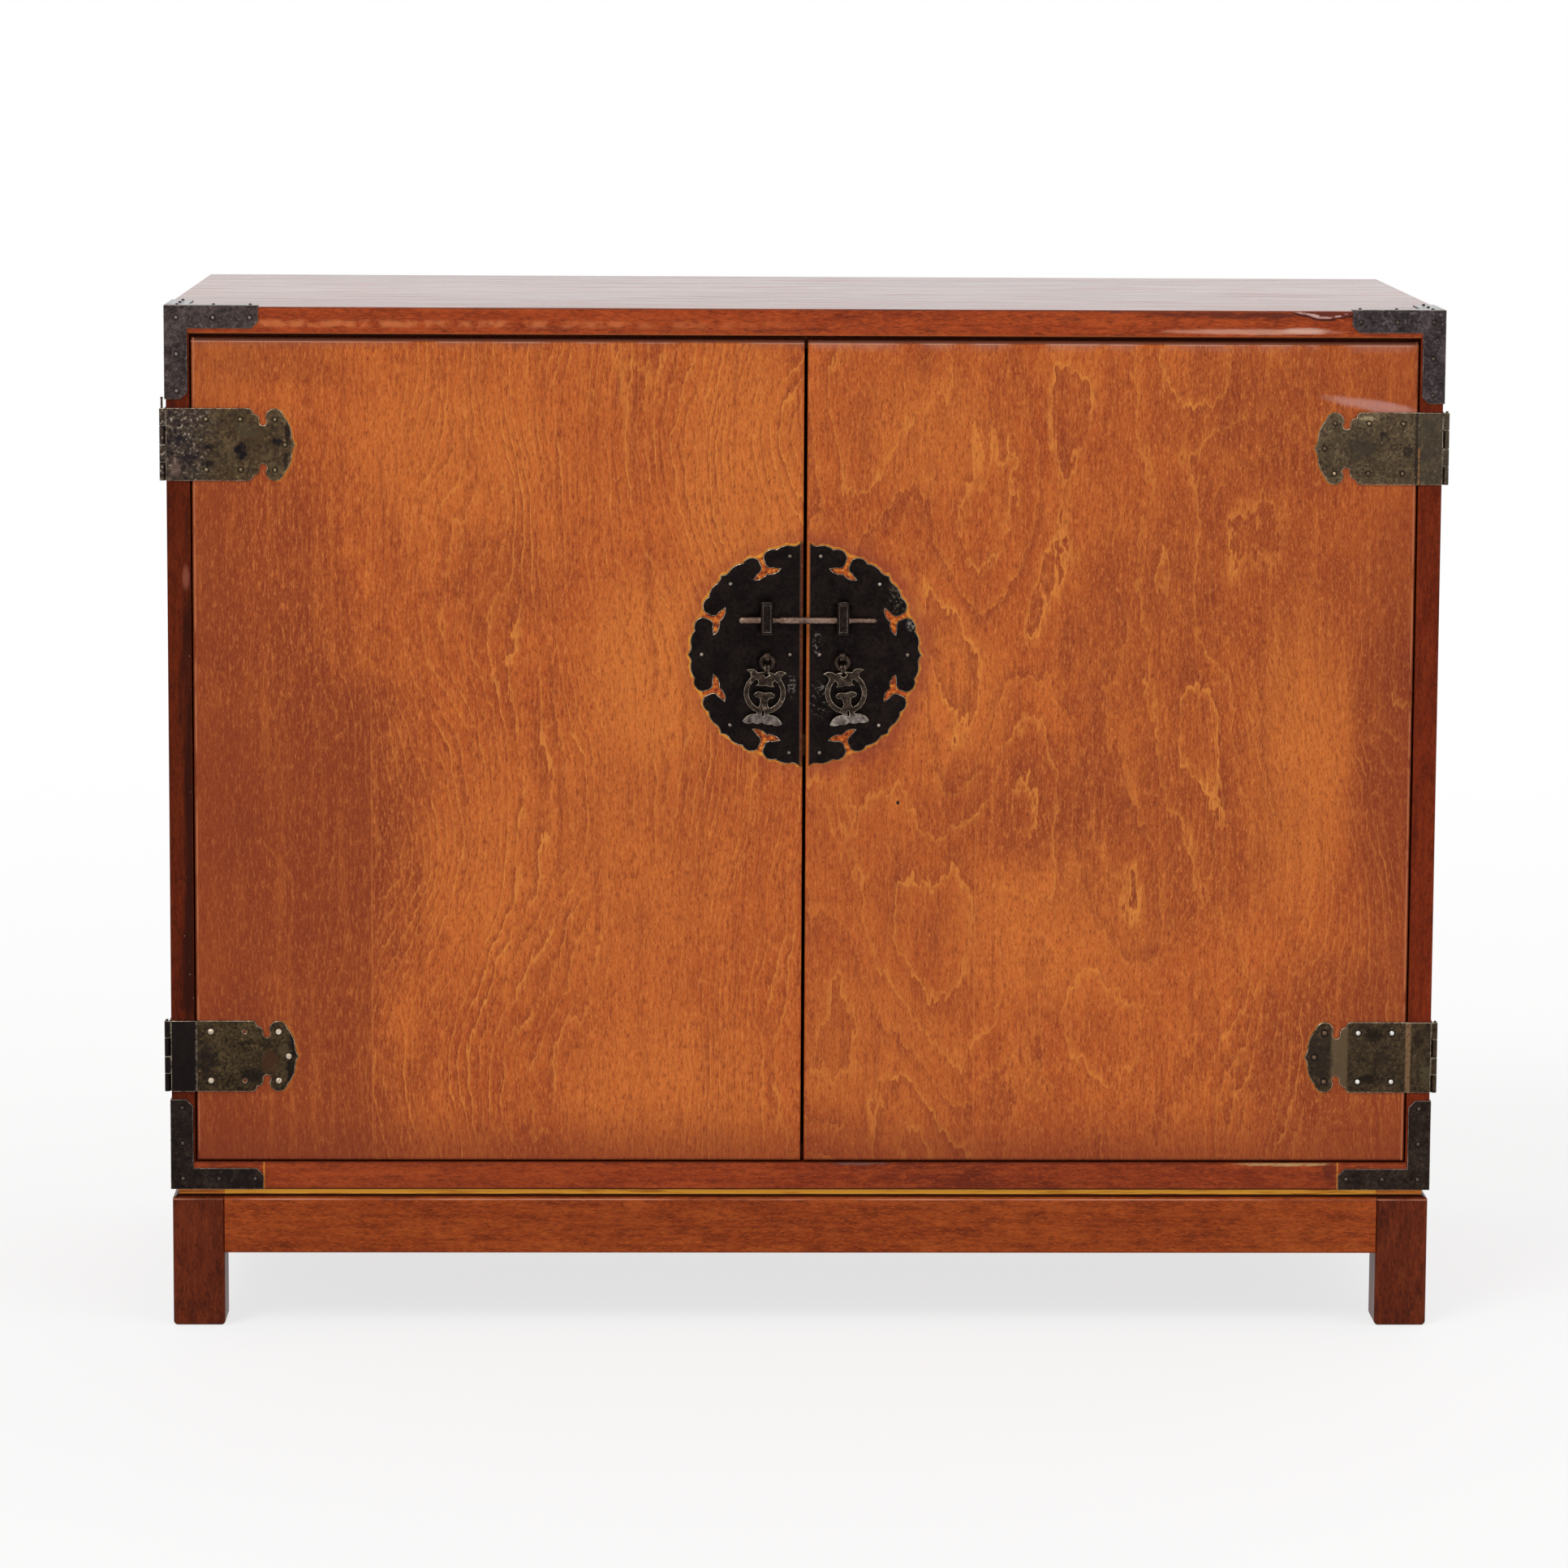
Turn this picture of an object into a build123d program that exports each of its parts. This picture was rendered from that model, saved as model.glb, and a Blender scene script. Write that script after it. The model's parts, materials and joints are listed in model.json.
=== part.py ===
from build123d import *

import os
from math import cos, radians, sin

os.makedirs("parts", exist_ok=True)

# A two-door chest on a low stand. All lengths are in millimetres.
# Axes: X along the width, Y from the front to the back, Z up. Z = 0 is the floor, and the
# origin is in the middle of the whole piece, hardware included.

# ---- case -------------------------------------------------------------------------------
case_width = 1118.0
case_depth = 508.0
case_height = 783.5
side_thickness = 20.5
top_thickness = 23.5
bottom_thickness = 24.5
back_thickness = 8.0
rabbet_width = 10.0
back_clearance = 0.5
outer_easing = 1.5
inner_easing = 1.0

# ---- doors ------------------------------------------------------------------------------
door_thickness = 22.0
door_recess = 1.0
door_gap_side = 1.5
door_gap_top = 3.5
door_gap_bottom = 1.5
meeting_gap = 3.0
door_easing = 2.0
stop_height = 12.0
stop_depth = 14.0
stop_clearance = 0.8

# ---- inside -----------------------------------------------------------------------------
shelf_thickness = 20.0
shelf_setback = 12.0
shelf_clearance = 0.5
shelf_underside_height = 360.0
shelf_pin_radius = 2.5
shelf_pin_length = 20.0
shelf_pin_depth = 10.0
shelf_pin_clearance = 0.1
shelf_pin_inset = 60.0

# ---- stand ------------------------------------------------------------------------------
stand_height = 124.0
leg_width = 46.0
leg_rounding = 3.0
foot_rounding = 4.0
apron_height = 57.5
apron_thickness = 22.0
tenon_length = 15.0
tenon_thickness = 10.0
tenon_shoulder = 12.0
tenon_clearance = 0.2
band_height = 6.0
band_inset = 5.0
cove_height = 2.8
cove_width = 3.5
block_leg = 52.0
block_height = 34.0
screw_radius = 2.0
screw_head_radius = 4.5
screw_head_height = 3.0
screw_grip = 16.0
screw_clearance = 0.3

# ---- iron: corner brackets and nails ----------------------------------------------------
bracket_length = 81.0
bracket_arm = 19.0
bracket_thickness = 1.2
bracket_chamfer = 6.0
bracket_nail_first = 9.6
bracket_nail_pitch = 32.0
nail_radius = 1.7
nail_height = 1.1
back_nail_radius = 2.2
back_nail_height = 1.2
back_nail_columns = 6
back_nail_rows = 4

# ---- iron: strap hinges -----------------------------------------------------------------
hinge_from_top = 93.5
hinge_from_bottom = 94.0
strap_height = 63.6
strap_thickness = 1.5
strap_body = 70.5
strap_tip = 112.8
strap_crease = 4.0
strap_crease_lead = 0.6
shoulder_crest_x = 74.4
shoulder_crest_drop = 1.2
shoulder_step_x = 75.8
shoulder_step_drop = 4.8
shoulder_swell_x = 80.3
shoulder_swell_drop = 7.0
notch_x = 84.6
notch_radius = 3.4
notch_drop = 11.6
lobe_x = 94.6
lobe_drop = 0.2
lobe_end_x = 102.8
lobe_end_drop = 6.8
flank_x = 107.9
flank_rise = 17.0
waist_x = 109.7
waist_rise = 7.8
tip_hollow_x = 110.9
tip_hollow_rise = 3.2
strap_nail_near = 35.0
strap_nail_far = 65.0
strap_nail_head = 95.0
strap_nail_tip = 103.8
strap_nail_rise = 22.0
strap_nail_radius_upper = 1.8
strap_nail_radius_lower_left = 2.8
strap_nail_radius_lower_right = 2.3
strap_nail_height = 1.5
strap_nail_hole = 1.7
barrel_radius = 2.3
barrel_offset = 3.6
barrel_setback = 1.3
hinge_pin_radius = 1.0
hinge_pin_clearance = 0.08
hinge_pin_head = 1.2
loose_pin_rise = 8.4
knuckle_count = 4
knuckle_gap = 0.3
web_thickness = 1.2
leaf_gap = 0.3
leaf_length = 80.0
leaf_thickness = 1.5
leaf_chamfer = 9.0

# ---- iron: lock plate, bolt and pulls ---------------------------------------------------
lock_height = 479.5
lock_plate_thickness = 1.5
lock_plate_margin = 4.0
rim_tip_radius = 99.2
rim_hollow_radius = 97.2
rim_hollow_angle = 1.6
rim_waist_radius = 96.4
rim_waist_angle = 4.0
rim_arc_radius = 97.4
rim_arc_angle = 8.6
rim_cusp_radius = 95.3
rim_cusp_angle = 12.8
rim_lobe_radius = 96.6
rim_lobe_angle = 17.4
neck_half_width = 2.1
neck_mouth_radius = 91.5
neck_foot_half_width = 1.8
neck_foot_radius = 85.4
arm_root = (2.9, 82.4)
arm_top = (6.8, 80.2)
arm_tip = (12.4, 77.0)
arm_heel = (10.4, 75.9)
arm_sole = (7.6, 75.4)
arm_hollow = (3.8, 75.7)
notch_cusp_radius = 77.4
lock_nail_offsets = ((13.5, 87.0), (65.5, 62.5), (90.5, 0.0), (65.5, -62.5), (13.5, -87.0), (13.0, 0.0))
keeper_x = 33.5
keeper_rise = 31.0
keeper_width = 10.8
keeper_height = 27.6
keeper_lift = 1.8
keeper_depth = 12.0
keeper_wall = 1.8
keeper_rounding = 1.6
keeper_border = 2.0
keeper_panel_depth = 0.5
keeper_hole_clearance = 0.3
keeper_rivet_radius = 2.0
keeper_rivet_rise = 8.4
clinch_thickness = 1.4
clinch_radius = 4.0
bolt_radius = 3.0
bolt_left = -58.3
bolt_neck_start = -26.8
bolt_neck_end = -21.6
bolt_neck_radius = 2.2
bolt_collars = (-20.6, -10.5, -3.0)
bolt_collar_width = 1.6
bolt_collar_radius = 3.3
bolt_step = 40.0
bolt_tip_radius = 2.1
bolt_right = 63.8
eye_x = 33.0
eye_standoff = 5.8
eye_radius = 4.2
eye_bore = 2.9
eye_width = 4.4
eye_shank_height = 2.4
eye_clinch_height = 15.0
shank_clearance = 0.2
link_radius = 5.4
link_wire = 2.0
link_seat = 0.35
link_drop = 6.2
pull_tilts = {"left": 4.5, "right": 7.0}
pendant_thickness = 2.2
hanger_radius = 3.9
hanger_bore = 2.75
hanger_width = 4.2
hanger_seat = 0.3
ring_drop = 27.0
ring_radius = 18.4
ring_band = 4.4
pendant_height = 55.2
tail_width = 34.8
tail_rise = 9.0
tail_neck = 5.2
tail_slot_width = 1.9
tail_slot_height = 4.8
# Points of the pendant's own outline, each to one side of its middle: horns, head and hooked
# motif are measured up from the top of the ring, the mushroom up from the ring's floor.
horn_back = ((7.8, -0.4), (10.2, 1.4), (12.9, 1.9))
horn_crown = ((12.9, 1.9), (15.8, 1.4), (18.3, 0.0))
horn_hollow = ((18.3, 0.0), (15.0, -1.3), (13.4, -4.6))
horn_root = ((13.4, -4.6), (12.4, -6.8), (6.6, -2.2), (7.8, -0.4))
head_shoulder = (3.4, 8.0)
motif_side = ((8.6, -7.0), (6.3, -9.4), (8.7, -12.3))
motif_foot = ((8.7, -12.3), (4.4, -12.4), (0.0, -11.8))
head_hole = ((3.1, -2.3), (0.0, 0.1), (-3.1, -2.3), (0.0, -4.7))
stem_flare = ((6.2, -0.6), (3.9, 2.4), (3.4, 6.6))
cap_hollow = ((3.4, 6.6), (4.3, 8.9), (6.6, 9.6))
cap_lip = ((6.6, 9.6), (8.6, 10.6), (9.4, 12.2))
cap_crown = ((9.4, 12.2), (6.4, 14.5), (2.8, 14.5))
cap_dip = ((2.8, 14.5), (1.3, 14.3), (0.0, 13.8))

# ---- places worked out from the sizes ---------------------------------------------------
half_width = case_width / 2
case_top = stand_height + case_height
opening_half = half_width - side_thickness
opening_top = case_top - top_thickness
opening_bottom = stand_height + bottom_thickness
door_top = opening_top - door_gap_top
door_bottom = opening_bottom + door_gap_bottom
door_outer = opening_half - door_gap_side
door_inner = meeting_gap / 2
lock_z = stand_height + lock_height
plate_edge = lock_plate_margin

front_reach = lock_plate_thickness + keeper_depth - door_recess
front_y = (front_reach - case_depth - back_nail_height) / 2
back_y = front_y + case_depth
door_front = front_y + door_recess
door_back = door_front + door_thickness
plate_front = door_front - lock_plate_thickness
back_panel_front = back_y - back_thickness
hinge_axis_x = half_width + barrel_offset
hinge_axis_y = front_y + barrel_setback
hinge_heights = {"upper": door_top - hinge_from_top, "lower": door_bottom + hinge_from_bottom}
sides = {"left": -1, "right": 1}


def facing(y):
    """The upright plane at y whose extrusions grow towards the front."""
    return Plane(origin=(0, y, 0), x_dir=(1, 0, 0), z_dir=(0, -1, 0))


def beside(s):
    """The upright plane on the left (s -1) or right (s 1) face of the case, growing outwards."""
    return Plane(origin=(s * half_width, 0, 0), x_dir=(0, s, 0), z_dir=(s, 0, 0))


def dome(radius, height):
    """A domed nail head standing on the XY plane."""
    with BuildPart() as head:
        with BuildSketch(Plane.XZ):
            with BuildLine():
                crown = (radius**2 + height**2) / (2 * height)
                RadiusArc((0, height), (radius, 0), crown)
                Line((radius, 0), (0, 0))
                Line((0, 0), (0, height))
            make_face()
        revolve(axis=Axis.Z)
    return head.part


def nails(head, points, outward, x_dir):
    """Copies of one nail head at points, standing on a face that looks along outward."""
    with BuildPart() as group:
        with Locations(*[Plane(origin=p, x_dir=x_dir, z_dir=outward).location for p in points]):
            add(head)
    return group.part


# ---- case panels, mitred at the corners and rabbeted for the back ------------------------
back_space_width = 2 * (opening_half + rabbet_width)
back_space_bottom = opening_bottom - rabbet_width
back_space_top = opening_top + rabbet_width
back_space_height = back_space_top - back_space_bottom
back_space_middle = (back_space_top + back_space_bottom) / 2
back_space_y = (back_y + back_panel_front) / 2

with BuildPart() as top_panel:
    with BuildSketch(facing(back_y)):
        with BuildLine():
            Polyline((-half_width, case_top), (half_width, case_top), (opening_half, opening_top),
                     (-opening_half, opening_top), close=True)
        make_face()
    extrude(amount=case_depth)
    fillet(top_panel.edges().filter_by(Axis.X).group_by(Axis.Z)[-1], radius=outer_easing)
    fillet(top_panel.edges().filter_by(Axis.X).group_by(Axis.Z)[0].sort_by(Axis.Y)[0], radius=inner_easing)
    with Locations((0, back_space_y, back_space_middle)):
        Box(back_space_width, back_thickness, back_space_height, mode=Mode.SUBTRACT)
top_panel.part.label = "top_panel"
export_step(top_panel.part, "parts/top_panel.step")

screw_points = [
    (sx * (half_width - leg_width - block_leg / 3), sy_y)
    for sx in sides.values()
    for sy_y in (front_y + leg_width + block_leg / 3, back_y - leg_width - block_leg / 3)
]

with BuildPart() as bottom_panel:
    with BuildSketch(facing(back_y)):
        with BuildLine():
            Polyline((-half_width, stand_height), (half_width, stand_height), (opening_half, opening_bottom),
                     (-opening_half, opening_bottom), close=True)
        make_face()
    extrude(amount=case_depth)
    fillet(bottom_panel.edges().filter_by(Axis.X).group_by(Axis.Z)[0], radius=outer_easing)
    fillet(bottom_panel.edges().filter_by(Axis.X).group_by(Axis.Z)[-1].sort_by(Axis.Y)[0], radius=inner_easing)
    with Locations((0, back_space_y, back_space_middle)):
        Box(back_space_width, back_thickness, back_space_height, mode=Mode.SUBTRACT)
    with Locations(*[(x, y, stand_height) for x, y in screw_points]):
        Cylinder(screw_radius, screw_grip, align=(Align.CENTER, Align.CENTER, Align.MIN), mode=Mode.SUBTRACT)
bottom_panel.part.label = "bottom_panel"
export_step(bottom_panel.part, "parts/bottom_panel.step")

shelf_z = opening_bottom + shelf_underside_height
shelf_front = door_back + shelf_setback
shelf_depth = back_panel_front - shelf_clearance - shelf_front
shelf_pin_z = shelf_z - shelf_pin_radius
shelf_pin_ys = (shelf_front + shelf_pin_inset, shelf_front + shelf_depth - shelf_pin_inset)

for side, s in sides.items():
    with BuildPart() as side_panel:
        with BuildSketch(facing(back_y)):
            with BuildLine():
                Polyline((s * half_width, case_top), (s * half_width, stand_height),
                         (s * opening_half, opening_bottom), (s * opening_half, opening_top), close=True)
            make_face()
        extrude(amount=case_depth)
        outer_edges = side_panel.edges().filter_by(Axis.Z).sort_by(Axis((0, 0, 0), (s, 0, 0)))[-2:]
        fillet(outer_edges, radius=outer_easing)
        inner_edges = side_panel.edges().filter_by(Axis.Z).group_by(Axis((0, 0, 0), (s, 0, 0)))[0]
        fillet(inner_edges.sort_by(Axis.Y)[0], radius=inner_easing)
        with Locations((0, back_space_y, back_space_middle)):
            Box(back_space_width, back_thickness, back_space_height, mode=Mode.SUBTRACT)
        with Locations(*[(s * (opening_half + shelf_pin_depth / 2), y, shelf_pin_z) for y in shelf_pin_ys]):
            Cylinder(shelf_pin_radius + shelf_pin_clearance, shelf_pin_depth, rotation=(0, 90, 0),
                     mode=Mode.SUBTRACT)
    side_panel.part.label = f"side_panel_{side}"
    export_step(side_panel.part, f"parts/side_panel_{side}.step")

with BuildPart() as back_panel:
    with Locations((0, back_space_y, back_space_middle)):
        Box(back_space_width - 2 * back_clearance, back_thickness, back_space_height - 2 * back_clearance)
back_panel.part.label = "back_panel"
export_step(back_panel.part, "parts/back_panel.step")

# Nails in a row along each edge of the back, into the rabbets.
back_nail_half = opening_half + rabbet_width / 2
back_nail_low = opening_bottom - rabbet_width / 2
back_nail_high = opening_top + rabbet_width / 2
back_nail_points = []
for i in range(back_nail_columns):
    x = -back_nail_half + 2 * back_nail_half * i / (back_nail_columns - 1)
    back_nail_points += [(x, back_y, back_nail_low), (x, back_y, back_nail_high)]
for j in range(1, back_nail_rows - 1):
    z = back_nail_low + (back_nail_high - back_nail_low) * j / (back_nail_rows - 1)
    back_nail_points += [(-back_nail_half, back_y, z), (back_nail_half, back_y, z)]
back_nails = nails(dome(back_nail_radius, back_nail_height), back_nail_points, (0, 1, 0), (1, 0, 0))
back_nails.label = "back_nails"
export_step(back_nails, "parts/back_nails.step")

# ---- shelf on four pins ------------------------------------------------------------------
with BuildPart() as shelf:
    with Locations((0, shelf_front + shelf_depth / 2, shelf_z + shelf_thickness / 2)):
        Box(2 * (opening_half - shelf_clearance), shelf_depth, shelf_thickness)
    fillet(shelf.edges().filter_by(Axis.X).group_by(Axis.Y)[0], radius=inner_easing)
shelf.part.label = "shelf"
export_step(shelf.part, "parts/shelf.step")

with BuildPart() as shelf_pins:
    for s in sides.values():
        pin_x = s * (opening_half + shelf_pin_depth - shelf_pin_length / 2)
        with Locations(*[(pin_x, y, shelf_pin_z) for y in shelf_pin_ys]):
            Cylinder(shelf_pin_radius, shelf_pin_length, rotation=(0, 90, 0))
shelf_pins.part.label = "shelf_pins"
export_step(shelf_pins.part, "parts/shelf_pins.step")

# ---- battens that the closed doors come to rest against ------------------------------------
stop_y = door_back + stop_clearance + stop_depth / 2
stop_heights = {"top": opening_top - stop_height / 2, "bottom": opening_bottom + stop_height / 2}
for place, z in stop_heights.items():
    with BuildPart() as door_stop:
        with Locations((0, stop_y, z)):
            Box(2 * opening_half, stop_depth, stop_height)
    door_stop.part.label = f"door_stop_{place}"
    export_step(door_stop.part, f"parts/door_stop_{place}.step")

# ---- stand: four legs, four aprons tenoned into them, corner blocks and screws --------------
moulding = [
    (0.0, stand_height - band_height - cove_height),
    (cove_width, stand_height - band_height),
    (band_inset, stand_height - band_height),
    (band_inset, stand_height),
    (-band_inset, stand_height),
    (-band_inset, stand_height - band_height - cove_height),
]
leg_inner = half_width - leg_width
tenon_bottom = stand_height - apron_height + tenon_shoulder
tenon_height = apron_height - 2 * tenon_shoulder
tenon_middle = tenon_bottom + tenon_height / 2


def moulding_along_x(face_y, inward):
    """Cuts the cove and the set-back band along a front (inward 1) or back (inward -1) face."""
    with BuildSketch(Plane(origin=(-half_width - band_inset, 0, 0), x_dir=(0, 1, 0), z_dir=(1, 0, 0))) as cut:
        with BuildLine():
            Polyline(*[(face_y + inward * u, z) for u, z in moulding], close=True)
        make_face()
    extrude(cut.sketch, amount=case_width + 2 * band_inset, mode=Mode.SUBTRACT)


def moulding_along_y(s):
    """Cuts the cove and the set-back band along the left (s -1) or right (s 1) face."""
    with BuildSketch(facing(back_y + band_inset)) as cut:
        with BuildLine():
            Polyline(*[(s * (half_width - u), z) for u, z in moulding], close=True)
        make_face()
    extrude(cut.sketch, amount=case_depth + 2 * band_inset, mode=Mode.SUBTRACT)


ends = {"front": (front_y, 1), "back": (back_y, -1)}
for end, (face_y, inward) in ends.items():
    for side, s in sides.items():
        leg_x = s * (half_width - leg_width / 2)
        leg_y = face_y + inward * leg_width / 2
        with BuildPart() as leg:
            with Locations((leg_x, leg_y, stand_height / 2)):
                Box(leg_width, leg_width, stand_height)
            fillet(leg.edges().filter_by(Axis.Z), radius=leg_rounding)
            fillet(leg.faces().sort_by(Axis.Z)[0].edges(), radius=foot_rounding)
            moulding_along_x(face_y, inward)
            moulding_along_y(s)
            with Locations((s * (leg_inner + tenon_length / 2), face_y + inward * apron_thickness / 2,
                            tenon_middle)):
                Box(tenon_length, tenon_thickness + 2 * tenon_clearance, tenon_height + 2 * tenon_clearance,
                    mode=Mode.SUBTRACT)
            with Locations((s * (half_width - apron_thickness / 2),
                            face_y + inward * (leg_width - tenon_length / 2), tenon_middle)):
                Box(tenon_thickness + 2 * tenon_clearance, tenon_length, tenon_height + 2 * tenon_clearance,
                    mode=Mode.SUBTRACT)
        leg.part.label = f"leg_{end}_{side}"
        export_step(leg.part, f"parts/leg_{end}_{side}.step")

apron_middle = stand_height - apron_height / 2
for end, (face_y, inward) in ends.items():
    apron_y = face_y + inward * apron_thickness / 2
    with BuildPart() as apron:
        with Locations((0, apron_y, apron_middle)):
            Box(2 * leg_inner, apron_thickness, apron_height)
        moulding_along_x(face_y, inward)
        with Locations((0, apron_y, tenon_middle)):
            Box(2 * (leg_inner + tenon_length - tenon_clearance), tenon_thickness, tenon_height)
    apron.part.label = f"apron_{end}"
    export_step(apron.part, f"parts/apron_{end}.step")

apron_run = case_depth - 2 * leg_width
for side, s in sides.items():
    apron_x = s * (half_width - apron_thickness / 2)
    with BuildPart() as apron:
        with Locations((apron_x, front_y + case_depth / 2, apron_middle)):
            Box(apron_thickness, apron_run, apron_height)
        moulding_along_y(s)
        with Locations((apron_x, front_y + case_depth / 2, tenon_middle)):
            Box(tenon_thickness, apron_run + 2 * (tenon_length - tenon_clearance), tenon_height)
    apron.part.label = f"apron_{side}"
    export_step(apron.part, f"parts/apron_{side}.step")

# Three-cornered blocks glued behind each leg, with a screw up into the case through each.
with BuildPart() as corner_blocks:
    for face_y, inward in ends.values():
        for s in sides.values():
            corner_x = s * (half_width - apron_thickness)
            corner_y = face_y + inward * apron_thickness
            leg_x = s * leg_inner
            leg_y = face_y + inward * leg_width
            with BuildSketch(Plane.XY.offset(stand_height - block_height)):
                with BuildLine():
                    Polyline((leg_x, leg_y), (leg_x, corner_y), (leg_x - s * block_leg, corner_y),
                             (corner_x, leg_y + inward * block_leg), (corner_x, leg_y), close=True)
                make_face()
            extrude(amount=block_height)
    with Locations(*[(x, y, stand_height - block_height) for x, y in screw_points]):
        Cylinder(screw_radius + screw_clearance, block_height, align=(Align.CENTER, Align.CENTER, Align.MIN),
                 mode=Mode.SUBTRACT)
corner_blocks.part.label = "corner_blocks"
export_step(corner_blocks.part, "parts/corner_blocks.step")

with BuildPart() as stand_screws:
    with Locations(*[(x, y, stand_height - block_height) for x, y in screw_points]):
        Cylinder(screw_radius, block_height + screw_grip, align=(Align.CENTER, Align.CENTER, Align.MIN))
        Cylinder(screw_head_radius, screw_head_height, align=(Align.CENTER, Align.CENTER, Align.MAX))
stand_screws.part.label = "stand_screws"
export_step(stand_screws.part, "parts/stand_screws.step")


# ---- iron corner brackets, folded round the front corners of the case ------------------------
def ell(plane, u_sign, u_corner, v_sign, v_corner):
    """One L-shaped face of a bracket, carried over the folds by the bracket's own thickness."""
    lap = bracket_thickness
    outline = [
        (-lap, -lap),
        (bracket_length, -lap),
        (bracket_length, bracket_arm - bracket_chamfer),
        (bracket_length - bracket_chamfer, bracket_arm),
        (bracket_arm, bracket_arm),
        (bracket_arm, bracket_length - bracket_chamfer),
        (bracket_arm - bracket_chamfer, bracket_length),
        (-lap, bracket_length),
    ]
    with BuildSketch(plane) as face:
        with BuildLine():
            Polyline(*[(u_corner + u_sign * u, v_corner + v_sign * v) for u, v in outline], close=True)
        make_face()
    return face.sketch


nail_run = [bracket_nail_first + i * bracket_nail_pitch for i in range(3)]
nail_steps = [(u, nail_run[0]) for u in nail_run] + [(nail_run[0], v) for v in nail_run[1:]]
small_head = dome(nail_radius, nail_height)
bracket_nail_parts = []

for level, up in {"upper": 1, "lower": -1}.items():
    corner_z = case_top if up > 0 else stand_height
    for side, s in sides.items():
        with BuildPart() as bracket:
            extrude(ell(facing(front_y), -s, s * half_width, -up, corner_z), amount=bracket_thickness)
            extrude(ell(beside(s), s, s * front_y, -up, corner_z), amount=bracket_thickness)
            if up > 0:
                top_arms = ell(Plane.XY.offset(case_top), -s, s * half_width, 1, front_y)
                extrude(top_arms, amount=bracket_thickness)
        if up < 0:
            with BuildPart() as bracket_trim:
                add(bracket.part)
                with Locations((0, 0, stand_height)):
                    Box(2 * case_width, 2 * case_depth, case_height,
                        align=(Align.CENTER, Align.CENTER, Align.MIN), mode=Mode.INTERSECT)
            bracket = bracket_trim
        bracket.part.label = f"corner_bracket_{level}_{side}"
        export_step(bracket.part, f"parts/corner_bracket_{level}_{side}.step")

        front_points = [
            (s * (half_width - u), front_y - bracket_thickness, corner_z - up * v) for u, v in nail_steps
        ]
        side_points = [
            (s * (half_width + bracket_thickness), front_y + u, corner_z - up * v) for u, v in nail_steps
        ]
        bracket_nail_parts.append(nails(small_head, front_points, (0, -1, 0), (1, 0, 0)))
        bracket_nail_parts.append(nails(small_head, side_points, (s, 0, 0), (0, 1, 0)))
        if up > 0:
            top_points = [
                (s * (half_width - u), front_y + v, case_top + bracket_thickness) for u, v in nail_steps
            ]
            bracket_nail_parts.append(nails(small_head, top_points, (0, 0, 1), (1, 0, 0)))

with BuildPart() as bracket_nails:
    add(bracket_nail_parts)
bracket_nails.part.label = "bracket_nails"
export_step(bracket_nails.part, "parts/bracket_nails.step")


# ---- strap hinges ------------------------------------------------------------------------------
def strap_outline(s, middle):
    """The strap seen from the front: a plate with lobed shoulders, a waist and a lobed head with a point."""
    half = strap_height / 2
    crest_z = half - shoulder_crest_drop
    step_z = half - shoulder_step_drop
    swell_z = half - shoulder_swell_drop
    notch_z = half - notch_drop

    def at(x, z):
        return (s * (half_width - x), middle + z)

    lip_x = notch_x + notch_radius * cos(radians(50))
    lip_z = notch_z + notch_radius * sin(radians(50))
    with BuildSketch(facing(front_y + 5)) as outline:
        with BuildLine():
            for v in (1, -1):
                Polyline(at(0, 0), at(0, v * half), at(strap_body, v * half))
                ThreePointArc(at(strap_body, v * half), at(shoulder_crest_x, v * crest_z),
                              at(shoulder_step_x, v * step_z))
                ThreePointArc(at(shoulder_step_x, v * step_z), at(shoulder_swell_x, v * swell_z),
                              at(notch_x - notch_radius, v * notch_z))
                ThreePointArc(at(notch_x - notch_radius, v * notch_z),
                              at(notch_x, v * (notch_z - notch_radius)), at(lip_x, v * lip_z))
                ThreePointArc(at(lip_x, v * lip_z), at(lobe_x, v * (half - lobe_drop)),
                              at(lobe_end_x, v * (half - lobe_end_drop)))
                ThreePointArc(at(lobe_end_x, v * (half - lobe_end_drop)), at(flank_x, v * flank_rise),
                              at(waist_x, v * waist_rise))
                ThreePointArc(at(waist_x, v * waist_rise), at(tip_hollow_x, v * tip_hollow_rise),
                              at(strap_tip, 0))
        make_face()
    return outline.sketch


def knuckles(s, middle, first, web_y):
    """Every other knuckle of a hinge, counted from the top, each with the web to its leaf."""
    pitch = strap_height / knuckle_count
    for k in range(first, knuckle_count, 2):
        floor_z = middle + strap_height / 2 - (k + 1) * pitch + knuckle_gap / 2
        with BuildSketch(Plane.XY.offset(floor_z)) as knuckle:
            with Locations((s * hinge_axis_x, hinge_axis_y)):
                Circle(barrel_radius)
            with Locations((s * (half_width + barrel_offset / 2), web_y)):
                Rectangle(barrel_offset, web_thickness)
        extrude(knuckle.sketch, amount=pitch - knuckle_gap)
    with Locations((s * hinge_axis_x, hinge_axis_y, middle)):
        Cylinder(hinge_pin_radius + hinge_pin_clearance, strap_height + 1, mode=Mode.SUBTRACT)


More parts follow.
